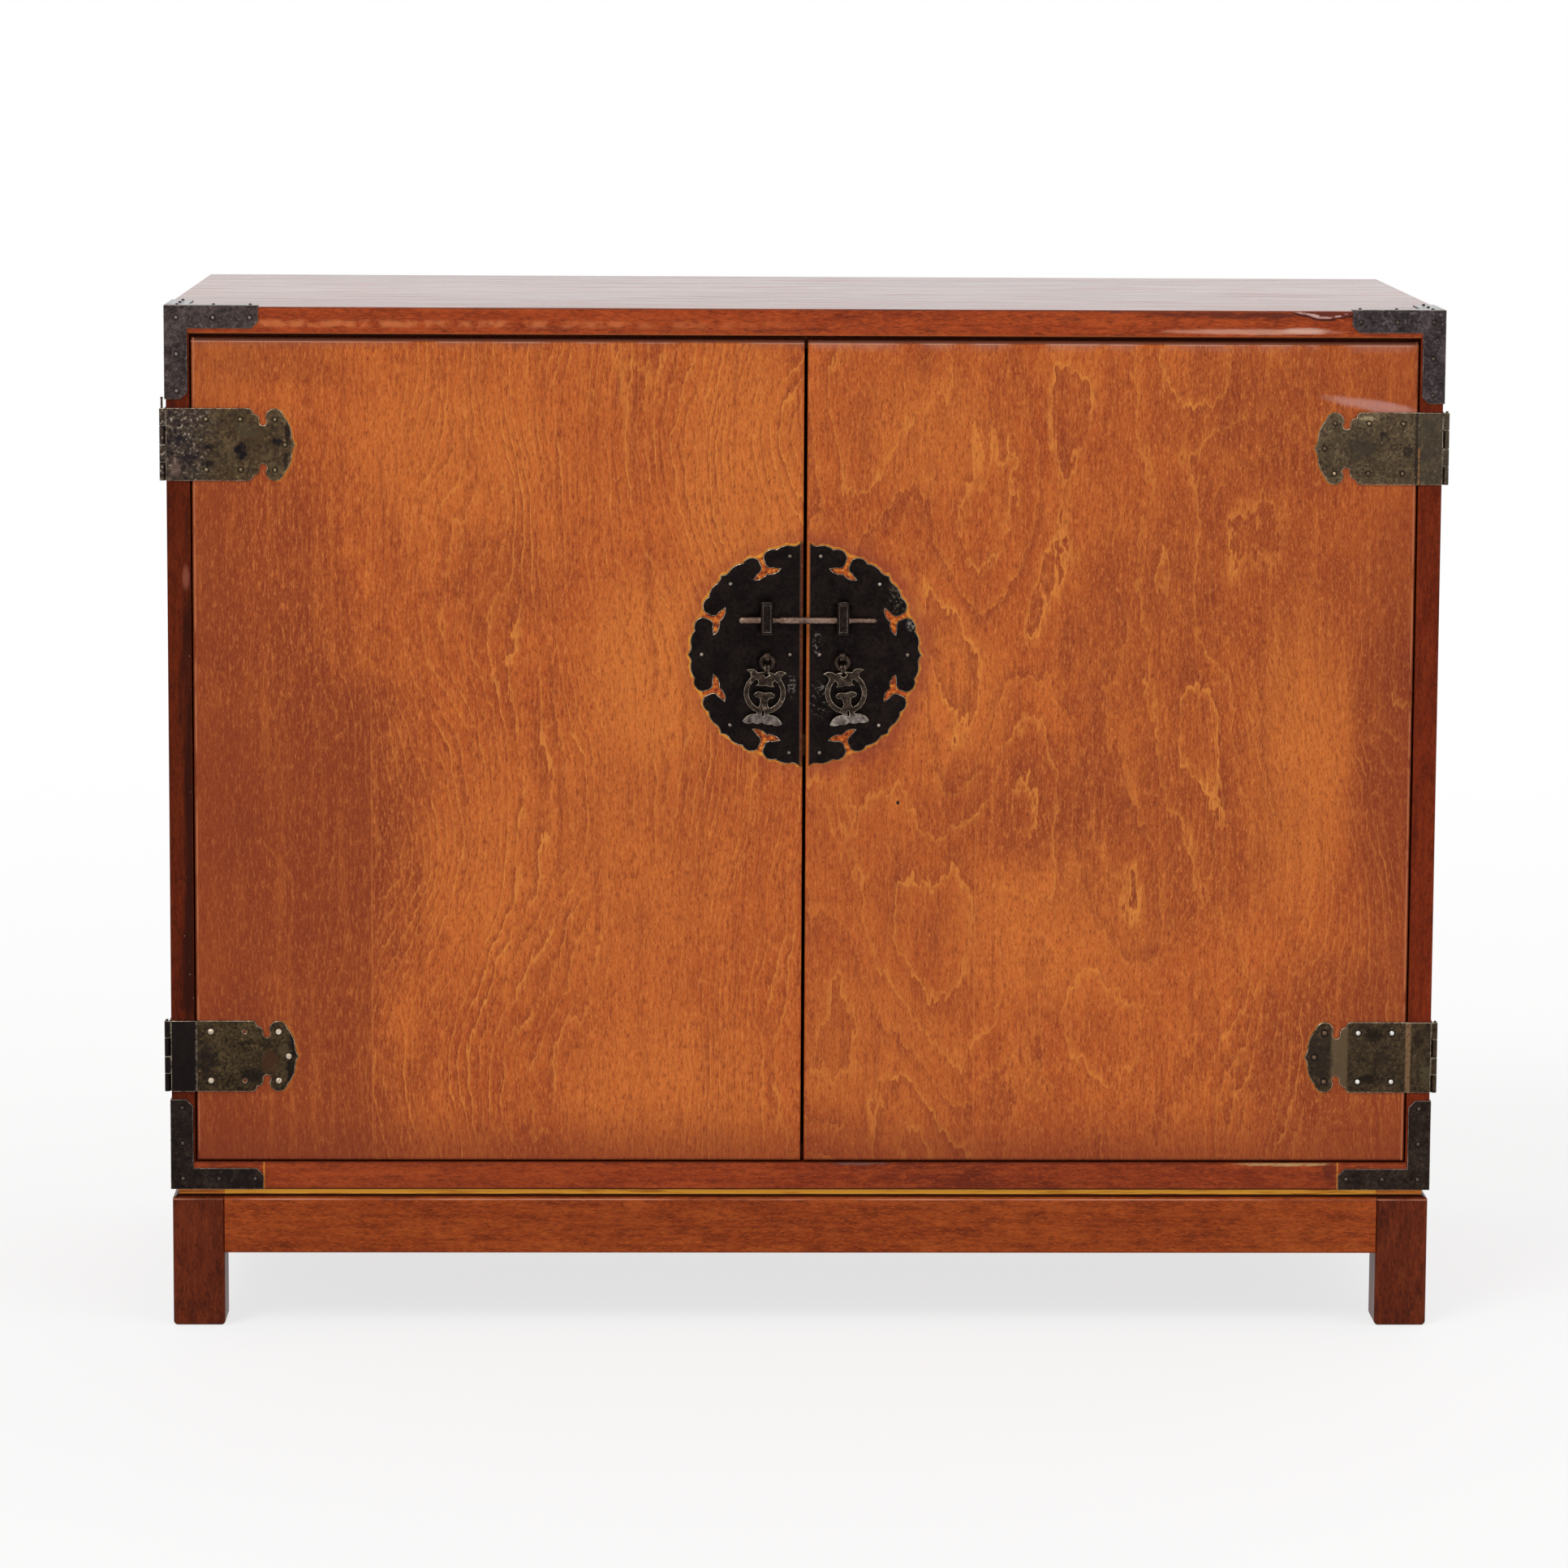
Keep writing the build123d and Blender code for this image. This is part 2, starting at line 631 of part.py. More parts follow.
strap_web_y = hinge_axis_y - barrel_radius + web_thickness / 2
leaf_web_y = hinge_axis_y + barrel_radius - web_thickness / 2
leaf_front = leaf_web_y - web_thickness / 2 + leaf_gap
strap_nail_spots = [
    (strap_nail_near, 1), (strap_nail_near, -1), (strap_nail_far, 1), (strap_nail_far, -1),
    (strap_nail_head, 1), (strap_nail_head, -1), (strap_nail_tip, 0),
]
strap_nail_radii = {
    ("upper", "left"): strap_nail_radius_upper,
    ("upper", "right"): strap_nail_radius_upper,
    ("lower", "left"): strap_nail_radius_lower_left,
    ("lower", "right"): strap_nail_radius_lower_right,
}
lost_nails = {("lower", "left"): [(strap_nail_far, 1), (strap_nail_far, -1)]}
leaf_nail_parts = []

for level, middle in hinge_heights.items():
    for side, s in sides.items():
        half = strap_height / 2
        crease = side_thickness - strap_crease_lead
        bends = [(0.0, 0.0), (crease, 0.0), (crease + strap_crease, door_recess), (strap_tip + 1, door_recess)]
        section = [(x, front_y + y) for x, y in bends]
        section += [(x, front_y + y - strap_thickness) for x, y in reversed(bends)]
        with BuildPart() as hinge_strap:
            with BuildSketch(Plane.XY.offset(middle - half)):
                with BuildLine():
                    Polyline(*[(s * (half_width - x), y) for x, y in section], close=True)
                make_face()
            extrude(amount=strap_height)
            extrude(strap_outline(s, middle), amount=10, mode=Mode.INTERSECT)
            knuckles(s, middle, 0, strap_web_y)
            for x, v in lost_nails.get((level, side), []):
                with Locations((s * (half_width - x), door_front, middle + v * strap_nail_rise)):
                    Cylinder(strap_nail_hole, 4 * strap_thickness, rotation=(90, 0, 0), mode=Mode.SUBTRACT)
        hinge_strap.part.label = f"hinge_strap_{level}_{side}"
        export_step(hinge_strap.part, f"parts/hinge_strap_{level}_{side}.step")

        head = dome(strap_nail_radii[level, side], strap_nail_height)
        strap_nail_points = [
            (s * (half_width - x), door_front - strap_thickness, middle + v * strap_nail_rise)
            for x, v in strap_nail_spots
            if (x, v) not in lost_nails.get((level, side), [])
        ]
        hinge_nails = nails(head, strap_nail_points, (0, -1, 0), (1, 0, 0))
        hinge_nails.label = f"hinge_nails_{level}_{side}"
        export_step(hinge_nails, f"parts/hinge_nails_{level}_{side}.step")

        with BuildPart() as hinge_leaf:
            with BuildSketch(beside(s)):
                with BuildLine():
                    Polyline(*[(s * y, z) for y, z in (
                        (leaf_front, middle - half), (leaf_front + leaf_length - leaf_chamfer, middle - half),
                        (leaf_front + leaf_length, middle - half + leaf_chamfer),
                        (leaf_front + leaf_length, middle + half - leaf_chamfer),
                        (leaf_front + leaf_length - leaf_chamfer, middle + half),
                        (leaf_front, middle + half))], close=True)
                make_face()
            extrude(amount=leaf_thickness)
            knuckles(s, middle, 1, leaf_web_y)
        hinge_leaf.part.label = f"hinge_leaf_{level}_{side}"
        export_step(hinge_leaf.part, f"parts/hinge_leaf_{level}_{side}.step")

        leaf_points = [
            (s * (half_width + leaf_thickness), leaf_front + y, middle + v * strap_nail_rise)
            for y in (strap_nail_near - 15, strap_nail_far)
            for v in (-1, 1)
        ]
        leaf_nail_parts.append(nails(small_head, leaf_points, (s, 0, 0), (0, 1, 0)))

        pin_top = middle + half
        if (level, side) == ("upper", "left"):
            pin_top += loose_pin_rise
        with BuildPart() as hinge_pin:
            with Locations((s * hinge_axis_x, hinge_axis_y, middle - half)):
                Cylinder(hinge_pin_radius, pin_top - middle + half,
                         align=(Align.CENTER, Align.CENTER, Align.MIN))
            with Locations((s * hinge_axis_x, hinge_axis_y, pin_top)):
                Cylinder(hinge_pin_radius * 1.25, hinge_pin_head,
                         align=(Align.CENTER, Align.CENTER, Align.MIN))
        hinge_pin.part.label = f"hinge_pin_{level}_{side}"
        export_step(hinge_pin.part, f"parts/hinge_pin_{level}_{side}.step")

with BuildPart() as hinge_leaf_nails:
    add(leaf_nail_parts)
hinge_leaf_nails.part.label = "hinge_leaf_nails"
export_step(hinge_leaf_nails.part, "parts/hinge_leaf_nails.step")


# ---- doors, with the holes for what is clinched through them -----------------------------------
def shank_holes(s, clearance):
    """Cuts the holes for the eye's shank and the keeper's two rivets, right through from the front."""
    with Locations((s * eye_x, door_front, link_z + link_radius - link_seat)):
        Box(eye_width + 2 * clearance, 4 * door_thickness, eye_shank_height + 2 * clearance,
            mode=Mode.SUBTRACT)
    with Locations(*[(s * keeper_x, door_front, keeper_z + v * keeper_rivet_rise) for v in (-1, 1)]):
        Cylinder(keeper_rivet_radius + clearance, 4 * door_thickness, rotation=(90, 0, 0), mode=Mode.SUBTRACT)


bolt_z = lock_z + keeper_rise
keeper_z = bolt_z + keeper_lift
bolt_y = plate_front - keeper_depth / 2
link_y = plate_front - eye_standoff
link_z = lock_z - link_drop
eye_z = link_z + link_radius - link_seat

for side, s in sides.items():
    with BuildPart() as door:
        door_middle_x = s * (door_inner + door_outer) / 2
        with Locations((door_middle_x, (door_front + door_back) / 2, (door_top + door_bottom) / 2)):
            Box(door_outer - door_inner, door_thickness, door_top - door_bottom)
        fillet(door.faces().sort_by(Axis.Y)[0].edges(), radius=door_easing)
        shank_holes(s, shank_clearance)
    door.part.label = f"door_{side}"
    export_step(door.part, f"parts/door_{side}.step")


# ---- the round lock plate, in two halves --------------------------------------------------------
# Each point of the rim and the side of it that a run of lobes goes to: up, three between, down.
rim_halves = [(middle, turn) for middle in (0, 45, 90, 135, 180) for turn in (-1, 1)][1:-1]


def half_plate_outline(s):
    """Half a disc with a pointed, lobed rim and four cloud-shaped notches cut in from it."""

    def polar(radius, angle):
        return (s * (plate_edge + radius * sin(radians(angle))), lock_z + radius * cos(radians(angle)))

    def off_axis(notch_angle, across, radius):
        """A point beside a notch's own axis, which runs out from the middle at notch_angle."""
        a = radians(notch_angle)
        outwards = radius * sin(a) + across * cos(a)
        return (s * (plate_edge + outwards), lock_z + radius * cos(a) - across * sin(a))

    with BuildSketch(facing(door_front)) as outline:
        with BuildLine():
            Line(polar(rim_tip_radius, 180), polar(rim_tip_radius, 0))
            for middle, turn in rim_halves:
                point = polar(rim_tip_radius, middle)
                waist = polar(rim_waist_radius, middle + turn * rim_waist_angle)
                cusp = polar(rim_cusp_radius, middle + turn * rim_cusp_angle)
                notch = middle + turn * 22.5
                mouth = off_axis(notch, -turn * neck_half_width, neck_mouth_radius)
                foot = off_axis(notch, -turn * neck_foot_half_width, neck_foot_radius)
                root, top, tip, heel, sole, hollow = [
                    off_axis(notch, -turn * across, radius)
                    for across, radius in (arm_root, arm_top, arm_tip, arm_heel, arm_sole, arm_hollow)
                ]
                ThreePointArc(point, polar(rim_hollow_radius, middle + turn * rim_hollow_angle), waist)
                ThreePointArc(waist, polar(rim_arc_radius, middle + turn * rim_arc_angle), cusp)
                ThreePointArc(cusp, polar(rim_lobe_radius, middle + turn * rim_lobe_angle), mouth)
                Line(mouth, foot)
                ThreePointArc(foot, root, top)
                Line(top, tip)
                ThreePointArc(tip, heel, sole)
                ThreePointArc(sole, hollow, off_axis(notch, 0, notch_cusp_radius))
        make_face()
    return outline.sketch


lock_head = dome(nail_radius, nail_height)
for side, s in sides.items():
    with BuildPart() as lock_plate:
        extrude(half_plate_outline(s), amount=lock_plate_thickness)
        shank_holes(s, shank_clearance)
    lock_plate.part.label = f"lock_plate_{side}"
    export_step(lock_plate.part, f"parts/lock_plate_{side}.step")

    lock_points = [(s * x, plate_front, lock_z + z) for x, z in lock_nail_offsets]
    lock_nails = nails(lock_head, lock_points, (0, -1, 0), (1, 0, 0))
    lock_nails.label = f"lock_nails_{side}"
    export_step(lock_nails, f"parts/lock_nails_{side}.step")

# ---- keepers: short upright tubes, bored across for the bolt and riveted through the door ---------
for side, s in sides.items():
    with BuildPart() as bolt_keeper:
        with Locations((s * keeper_x, bolt_y, keeper_z)):
            Box(keeper_width, keeper_depth, keeper_height)
        fillet(bolt_keeper.edges().filter_by(Axis.Z), radius=keeper_rounding)
        with Locations((s * keeper_x, bolt_y, keeper_z)):
            Box(keeper_width - 2 * keeper_wall, keeper_depth - 2 * keeper_wall, keeper_height,
                mode=Mode.SUBTRACT)
        with Locations((s * keeper_x, bolt_y, bolt_z)):
            Cylinder(bolt_collar_radius + keeper_hole_clearance, keeper_width, rotation=(0, 90, 0),
                     mode=Mode.SUBTRACT)
        with Locations((s * keeper_x, plate_front - keeper_depth, keeper_z)):
            Box(keeper_width - 2 * keeper_border, 2 * keeper_panel_depth, keeper_height - 2 * keeper_border,
                mode=Mode.SUBTRACT)
        with Locations(*[(s * keeper_x, plate_front - keeper_wall / 2, keeper_z + v * keeper_rivet_rise)
                         for v in (-1, 1)]):
            Cylinder(keeper_rivet_radius, door_back - plate_front + keeper_wall / 2 + clinch_thickness / 2,
                     rotation=(-90, 0, 0), align=(Align.CENTER, Align.CENTER, Align.MIN))
        with Locations(*[(s * keeper_x, door_back, keeper_z + v * keeper_rivet_rise) for v in (-1, 1)]):
            Cylinder(clinch_radius, clinch_thickness, rotation=(-90, 0, 0),
                     align=(Align.CENTER, Align.CENTER, Align.MIN))
    bolt_keeper.part.label = f"bolt_keeper_{side}"
    export_step(bolt_keeper.part, f"parts/bolt_keeper_{side}.step")

# ---- the bolt that runs through both keepers ------------------------------------------------------
with BuildPart() as bolt_pin:
    with BuildSketch(Plane(origin=(0, bolt_y, bolt_z), x_dir=(1, 0, 0), z_dir=(0, -1, 0))):
        with BuildLine():
            ThreePointArc((bolt_left, 0), (bolt_left + bolt_radius * (1 - cos(radians(45))),
                          bolt_radius * sin(radians(45))), (bolt_left + bolt_radius, bolt_radius))
            Polyline((bolt_left + bolt_radius, bolt_radius), (bolt_neck_start, bolt_radius),
                     (bolt_neck_start, bolt_neck_radius), (bolt_neck_end, bolt_neck_radius),
                     (bolt_neck_end, bolt_radius), (bolt_step, bolt_radius), (bolt_step + 1, bolt_tip_radius),
                     (bolt_right - bolt_tip_radius, bolt_tip_radius), (bolt_right, 0), (bolt_left, 0))
        make_face()
    revolve(axis=Axis((0, bolt_y, bolt_z), (1, 0, 0)))
    with Locations(*[(x, bolt_y, bolt_z) for x in bolt_collars]):
        Cylinder(bolt_collar_radius, bolt_collar_width, rotation=(0, 90, 0))
bolt_pin.part.label = "bolt_pin"
export_step(bolt_pin.part, "parts/bolt_pin.step")


# ---- pulls: an eye through the door, a link in it and a pierced pendant on the link ----------------
def pendant_plane(s, tilt):
    """The pendant's own upright plane through the middle of its link, leaning by the tilt."""
    a = radians(tilt)
    return Plane(origin=(s * eye_x, link_y, link_z), x_dir=(cos(a), 0, s * sin(a)), z_dir=(0, -1, 0))


def shifted(points, v, rise):
    """Points of an outline on the side v (1 or -1) of its middle, lifted by rise."""
    return [(v * x, y + rise) for x, y in points]


def pendant_outline(plane):
    """The pendant seen from the front, with its link's middle at (0, 0)."""
    ring_inner = ring_radius - ring_band
    ring_top = ring_radius - ring_drop
    ring_floor = -ring_drop - ring_inner
    neck_top = -ring_drop - ring_radius + ring_band / 2
    tail_top = tail_rise - pendant_height
    head_top = -link_radius - hanger_bore - link_seat
    neck_foot = tail_neck + 1.0
    with BuildSketch(plane) as outline:
        with Locations((0, -ring_drop)):
            Circle(ring_radius)
            Circle(ring_inner, mode=Mode.SUBTRACT)
        # Head below the hanger, with the hooked motif that fills the top of the ring.
        with BuildLine():
            for v in (1, -1):
                Polyline((0, head_top), (v * head_shoulder[0], head_top), (v * head_shoulder[1], ring_top - 1),
                         *shifted(motif_side[:1], v, ring_top))
                ThreePointArc(*shifted(motif_side, v, ring_top))
                ThreePointArc(*shifted(motif_foot, v, ring_top))
        make_face()
        # Horns that sweep up and out to a tip on each side.
        for v in (1, -1):
            with BuildLine():
                ThreePointArc(*shifted(horn_back, v, ring_top))
                ThreePointArc(*shifted(horn_crown, v, ring_top))
                ThreePointArc(*shifted(horn_hollow, v, ring_top))
                Polyline(*shifted(horn_root, v, ring_top))
            make_face()
        # Mushroom that stands on the ring's floor.
        with BuildLine():
            for v in (1, -1):
                Line((0, ring_floor + stem_flare[0][1]), *shifted(stem_flare[:1], v, ring_floor))
                for arc in (stem_flare, cap_hollow, cap_lip, cap_crown, cap_dip):
                    ThreePointArc(*shifted(arc, v, ring_floor))
        make_face()
        # Neck and fishtail below the ring.
        with BuildLine():
            for v in (1, -1):
                Line((0, neck_top), (v * neck_foot, neck_top))
                ThreePointArc((v * neck_foot, neck_top), (v * tail_neck, (neck_top + tail_top) / 2),
                              (v * neck_foot, tail_top))
                ThreePointArc((v * neck_foot, tail_top), (v * tail_width * 0.36, tail_top - 1.6),
                              (v * tail_width / 2, 1.6 - pendant_height))
                ThreePointArc((v * tail_width / 2, 1.6 - pendant_height),
                              (v * tail_width * 0.36, -pendant_height),
                              (v * tail_width * 0.24, 1.1 - pendant_height))
                ThreePointArc((v * tail_width * 0.24, 1.1 - pendant_height),
                              (v * tail_width * 0.12, 0.3 - pendant_height), (0, 2.0 - pendant_height))
        make_face()
        # Pierced diamond in the head and upright slot in the neck.
        with BuildLine():
            Polyline(*shifted(head_hole, 1, ring_top), close=True)
        make_face(mode=Mode.SUBTRACT)
        with Locations((0, (neck_top + tail_top) / 2 - 0.6)):
            SlotOverall(tail_slot_height, tail_slot_width, rotation=90, mode=Mode.SUBTRACT)
    return outline.sketch


for side, s in sides.items():
    with BuildPart() as pull_eye:
        with Locations((s * eye_x, link_y, eye_z)):
            Cylinder(eye_radius, eye_width, rotation=(0, 90, 0))
        shank_length = door_back + clinch_thickness - link_y
        with Locations((s * eye_x, link_y + shank_length / 2, eye_z)):
            Box(eye_width, shank_length, eye_shank_height)
        with Locations((s * eye_x, door_back + clinch_thickness / 2, eye_z)):
            Box(eye_width, clinch_thickness, eye_clinch_height)
        with Locations((s * eye_x, link_y, eye_z)):
            Cylinder(eye_bore, eye_width, rotation=(0, 90, 0), mode=Mode.SUBTRACT)
    pull_eye.part.label = f"pull_eye_{side}"
    export_step(pull_eye.part, f"parts/pull_eye_{side}.step")

    with BuildPart() as pull_link:
        with Locations((s * eye_x, link_y, link_z)):
            Torus(link_radius, link_wire, rotation=(90, 0, 0))
    pull_link.part.label = f"pull_link_{side}"
    export_step(pull_link.part, f"parts/pull_link_{side}.step")

    plane = pendant_plane(s, pull_tilts[side])
    hanger_origin = plane.from_local_coords((0, hanger_seat - link_radius, 0))
    hanger = Plane(origin=hanger_origin, x_dir=(0, -1, 0), z_dir=plane.x_dir)
    with BuildPart() as pull_pendant:
        extrude(pendant_outline(plane.offset(-pendant_thickness / 2)), amount=pendant_thickness)
        with BuildSketch(hanger.offset(-hanger_width / 2)):
            Circle(hanger_radius)
        extrude(amount=hanger_width)
        with BuildSketch(hanger.offset(-hanger_width)):
            Circle(hanger_bore)
        extrude(amount=2 * hanger_width, mode=Mode.SUBTRACT)
    pull_pendant.part.label = f"pull_pendant_{side}"
    export_step(pull_pendant.part, f"parts/pull_pendant_{side}.step")
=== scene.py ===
import json
import math

import bmesh
import bpy
from mathutils import Matrix, Vector


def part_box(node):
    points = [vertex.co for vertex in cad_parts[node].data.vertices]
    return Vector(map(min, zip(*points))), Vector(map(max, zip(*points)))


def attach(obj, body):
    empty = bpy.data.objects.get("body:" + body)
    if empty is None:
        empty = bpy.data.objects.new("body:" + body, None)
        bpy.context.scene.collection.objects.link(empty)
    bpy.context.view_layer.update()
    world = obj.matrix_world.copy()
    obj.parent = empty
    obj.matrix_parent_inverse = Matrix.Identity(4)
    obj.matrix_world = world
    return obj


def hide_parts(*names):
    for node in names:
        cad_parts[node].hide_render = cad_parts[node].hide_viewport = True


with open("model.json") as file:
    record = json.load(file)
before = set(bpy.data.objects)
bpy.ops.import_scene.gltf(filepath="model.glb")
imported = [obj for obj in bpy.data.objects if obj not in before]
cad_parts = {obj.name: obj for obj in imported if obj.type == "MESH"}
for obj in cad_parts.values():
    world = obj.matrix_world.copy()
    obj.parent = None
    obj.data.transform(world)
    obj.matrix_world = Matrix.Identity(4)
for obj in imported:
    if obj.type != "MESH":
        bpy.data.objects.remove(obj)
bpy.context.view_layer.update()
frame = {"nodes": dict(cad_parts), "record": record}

nodes = frame["nodes"]
BODY_OF = {n: body for body, members in frame["record"]["behaviour"]["bodies"].items() for n in members}

# ---- places taken from the frame, in metres ------------------------------------------------------
SIDES = {"left": -1, "right": 1}
LEVELS = ("upper", "lower")
CORNERS = [(level, side) for level in LEVELS for side in SIDES]
case_lo, case_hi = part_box("side_panel_left")
FRONT = case_lo[1]
CASE_HALF = -case_lo[0]
STILE = case_hi[0] - case_lo[0]
CASE_TOP = case_hi[2]
STAND_TOP = case_lo[2]
door_lo, door_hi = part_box("door_left")
DOOR_BOTTOM = door_lo[2]
DOOR_TOP = door_hi[2]
DOOR_OUT = -door_lo[0]
plate_lo, plate_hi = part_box("lock_plate_left")
LOCK_Z = (plate_lo[2] + plate_hi[2]) / 2
LOCK_EDGE = -plate_hi[0]
LOCK_RADIUS = plate_hi[0] - plate_lo[0]
HINGE_Z = {level: sum(v[2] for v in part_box(f"hinge_strap_{level}_left")) / 2 for level in LEVELS}

# ---- values used in several places ---------------------------------------------------------------
SEED_SHIFT = (3.17, 1.73, 2.39)     # how far one step of a seed moves a noise along each axis
IRON_METAL = 0.9
WELD_WITHIN = 1e-6                  # metres
FLAT_WITHIN = math.radians(0.6)     # faces this close to level with each other become one
EASED_FROM = math.radians(35)       # edges sharper than this are eased
WORKED_SHARP = math.radians(38)     # edges sharper than this stay crisp on a copy
DRESSED_SHARP = math.radians(30)    # and on a CAD node
SHEET_EASE = 0.0005                 # metres, as are the next three
PLATE_EASE = 0.0006
KEEPER_EASE = 0.0002
PULL_EASE = 0.0004
NAIL_RING = {"upper": 0.002, "lower": 0.0027}     # about the radius of a hinge nail's head, metres


def srgb(r, g, b):
    """A colour given as 0-255 screen values, as linear light."""
    out = []
    for v in (r, g, b):
        c = v / 255
        out.append(c / 12.92 if c <= 0.04045 else ((c + 0.055) / 1.055) ** 2.4)
    return (*out, 1.0)


class Graph:
    """A material and short calls to wire its nodes."""

    def __init__(self, name, rough=0.5, metal=0.0, specular=0.5):
        self.mat = bpy.data.materials.new(name)
        self.mat.use_nodes = True
        self.tree = self.mat.node_tree
        self.bsdf = self.tree.nodes["Principled BSDF"]
        self.bsdf.inputs["Roughness"].default_value = rough
        self.bsdf.inputs["Metallic"].default_value = metal
        self.bsdf.inputs["Specular IOR Level"].default_value = specular
        self.pos = self.add("ShaderNodeTexCoord").outputs["Object"]
        split = self.add("ShaderNodeSeparateXYZ")
        self.feed(split.inputs[0], self.pos)
        self.x, self.y, self.z = split.outputs

    def add(self, kind, **props):
        """A new node with its settings."""
        node = self.tree.nodes.new(kind)
        for key, value in props.items():
            setattr(node, key, value)
        return node

    def feed(self, socket, value):
        """Links an output to an input, or sets the input to a constant."""
        if isinstance(value, bpy.types.NodeSocket):
            self.tree.links.new(value, socket)
        elif value is not None:
            socket.default_value = value

    def math(self, op, a, b=None):
        node = self.add("ShaderNodeMath", operation=op)
        for socket, value in zip(node.inputs, (a, b)):
            self.feed(socket, value)
        return node.outputs[0]

    def mul(self, first, *others):
        for other in others:
            first = self.math("MULTIPLY", first, other)
        return first

    def plus(self, first, *others):
        for other in others:
            first = self.math("ADD", first, other)
        return first

    def minus(self, a, b):
        return self.math("SUBTRACT", a, b)

    def scaled(self, scale, offset):
        node = self.add("ShaderNodeMapping")
        self.feed(node.inputs["Vector"], self.pos)
        node.inputs["Scale"].default_value = scale
        node.inputs["Location"].default_value = offset
        return node.outputs[0]

    def noise(self, scale, seed=0.0, detail=2.0, rough=0.5, distort=0.0):
        """Noise with a frequency, per metre, along each axis."""
        node = self.add("ShaderNodeTexNoise")
        offset = tuple(seed * shift for shift in SEED_SHIFT)
        self.feed(node.inputs["Vector"], self.scaled(scale, offset))
        node.inputs["Scale"].default_value = 1.0
        node.inputs["Detail"].default_value = detail
        node.inputs["Roughness"].default_value = rough
        node.inputs["Distortion"].default_value = distort
        return node.outputs["Fac"]

    def step(self, value, low, high):
        """0 at low, 1 at high, smooth between; high may be the lower one."""
        node = self.add("ShaderNodeMapRange", interpolation_type="SMOOTHSTEP", clamp=True)
        self.feed(node.inputs["Value"], value)
        a, b, c, d = (low, high, 0.0, 1.0) if low < high else (high, low, 1.0, 0.0)
        node.inputs["From Min"].default_value = a
        node.inputs["From Max"].default_value = b
        node.inputs["To Min"].default_value = c
        node.inputs["To Max"].default_value = d
        return node.outputs["Result"]

    def band(self, value, middle, half, soft):
        """1 within half of the middle, 0 beyond half plus soft."""
        return self.step(self.math("ABSOLUTE", self.minus(value, middle)), half + soft, half)

    def spot(self, across, rise, place, reach, ragged=None):
        """1 in the middle of an oval on the front, 0 outside it."""
        u = self.mul(self.minus(across, place[0]), 1 / reach[0])
        v = self.mul(self.minus(rise, place[1]), 1 / reach[1])
        radius = self.plus(self.mul(u, u), self.mul(v, v))
        if ragged is not None:
            radius = self.plus(radius, ragged)
        return self.step(radius, 1.0, 0.1)

    def mixed(self, one, other, amount):
        """One colour where the amount is 0, the other where it is 1."""
        node = self.add("ShaderNodeMix", data_type="RGBA")
        self.feed(node.inputs["Factor"], amount)
        self.feed(node.inputs["A"], one)
        self.feed(node.inputs["B"], other)
        return node.outputs["Result"]

    def over(self, colour, tint, amount, strength=1.0):
        """The colour with a tint, in screen values, laid over it by an amount."""
        return self.mixed(colour, srgb(*tint), self.mul(amount, strength))

    def colour(self, socket):
        self.feed(self.bsdf.inputs["Base Color"], socket)

    def roughness(self, socket, low, high):
        """Roughness from low to high as the socket goes from 0 to 1."""
        self.feed(self.bsdf.inputs["Roughness"], self.plus(self.mul(socket, high - low), low))

    def bump(self, height, strength, distance):
        node = self.add("ShaderNodeBump")
        node.inputs["Strength"].default_value = strength
        node.inputs["Distance"].default_value = distance
        self.feed(node.inputs["Height"], height)
        self.feed(self.bsdf.inputs["Normal"], node.outputs[0])


def outline_radius(g, name, centre, slack, bins):
    """How far a point on the front lies beyond a node's outline, measured out from a centre."""
    furthest = [0.0] * bins
    for vertex in nodes[name].data.vertices:
        u = vertex.co.x - centre[0]
        v = vertex.co.z - centre[1]
        turn = (math.atan2(v, u) / math.tau + 0.5) % 1.0
        place = min(int(turn * bins), bins - 1)
        furthest[place] = max(furthest[place], math.hypot(u, v))
    largest = max(furthest)
    node = g.add("ShaderNodeFloatCurve")
    curve = node.mapping.curves[0]
    rows = [((i + 0.5) / bins, r / largest) for i, r in enumerate(furthest) if r > slack * largest]
    curve.points[0].location = (0.0, rows[0][1])
    curve.points[1].location = (1.0, rows[-1][1])
    for spot in rows:
        curve.points.new(*spot)
    for point in curve.points:
        point.handle_type = "VECTOR"
    node.mapping.update()
    u = g.minus(g.x, centre[0])
    v = g.minus(g.z, centre[1])
    angle = g.plus(g.mul(g.math("ARCTAN2", v, u), 1 / math.tau), 0.5)
    g.feed(node.inputs["Value"], angle)
    radius = g.math("SQRT", g.plus(g.mul(u, u), g.mul(v, v)))
    return g.minus(radius, g.mul(node.outputs[0], largest))


# ---- wood ------------------------------------------------------------------------------------------
def along_grain(along, across_rate, along_rate):
    """Frequencies with the slow one along the grain."""
    return tuple(along_rate if axis == along else across_rate for axis in "xyz")


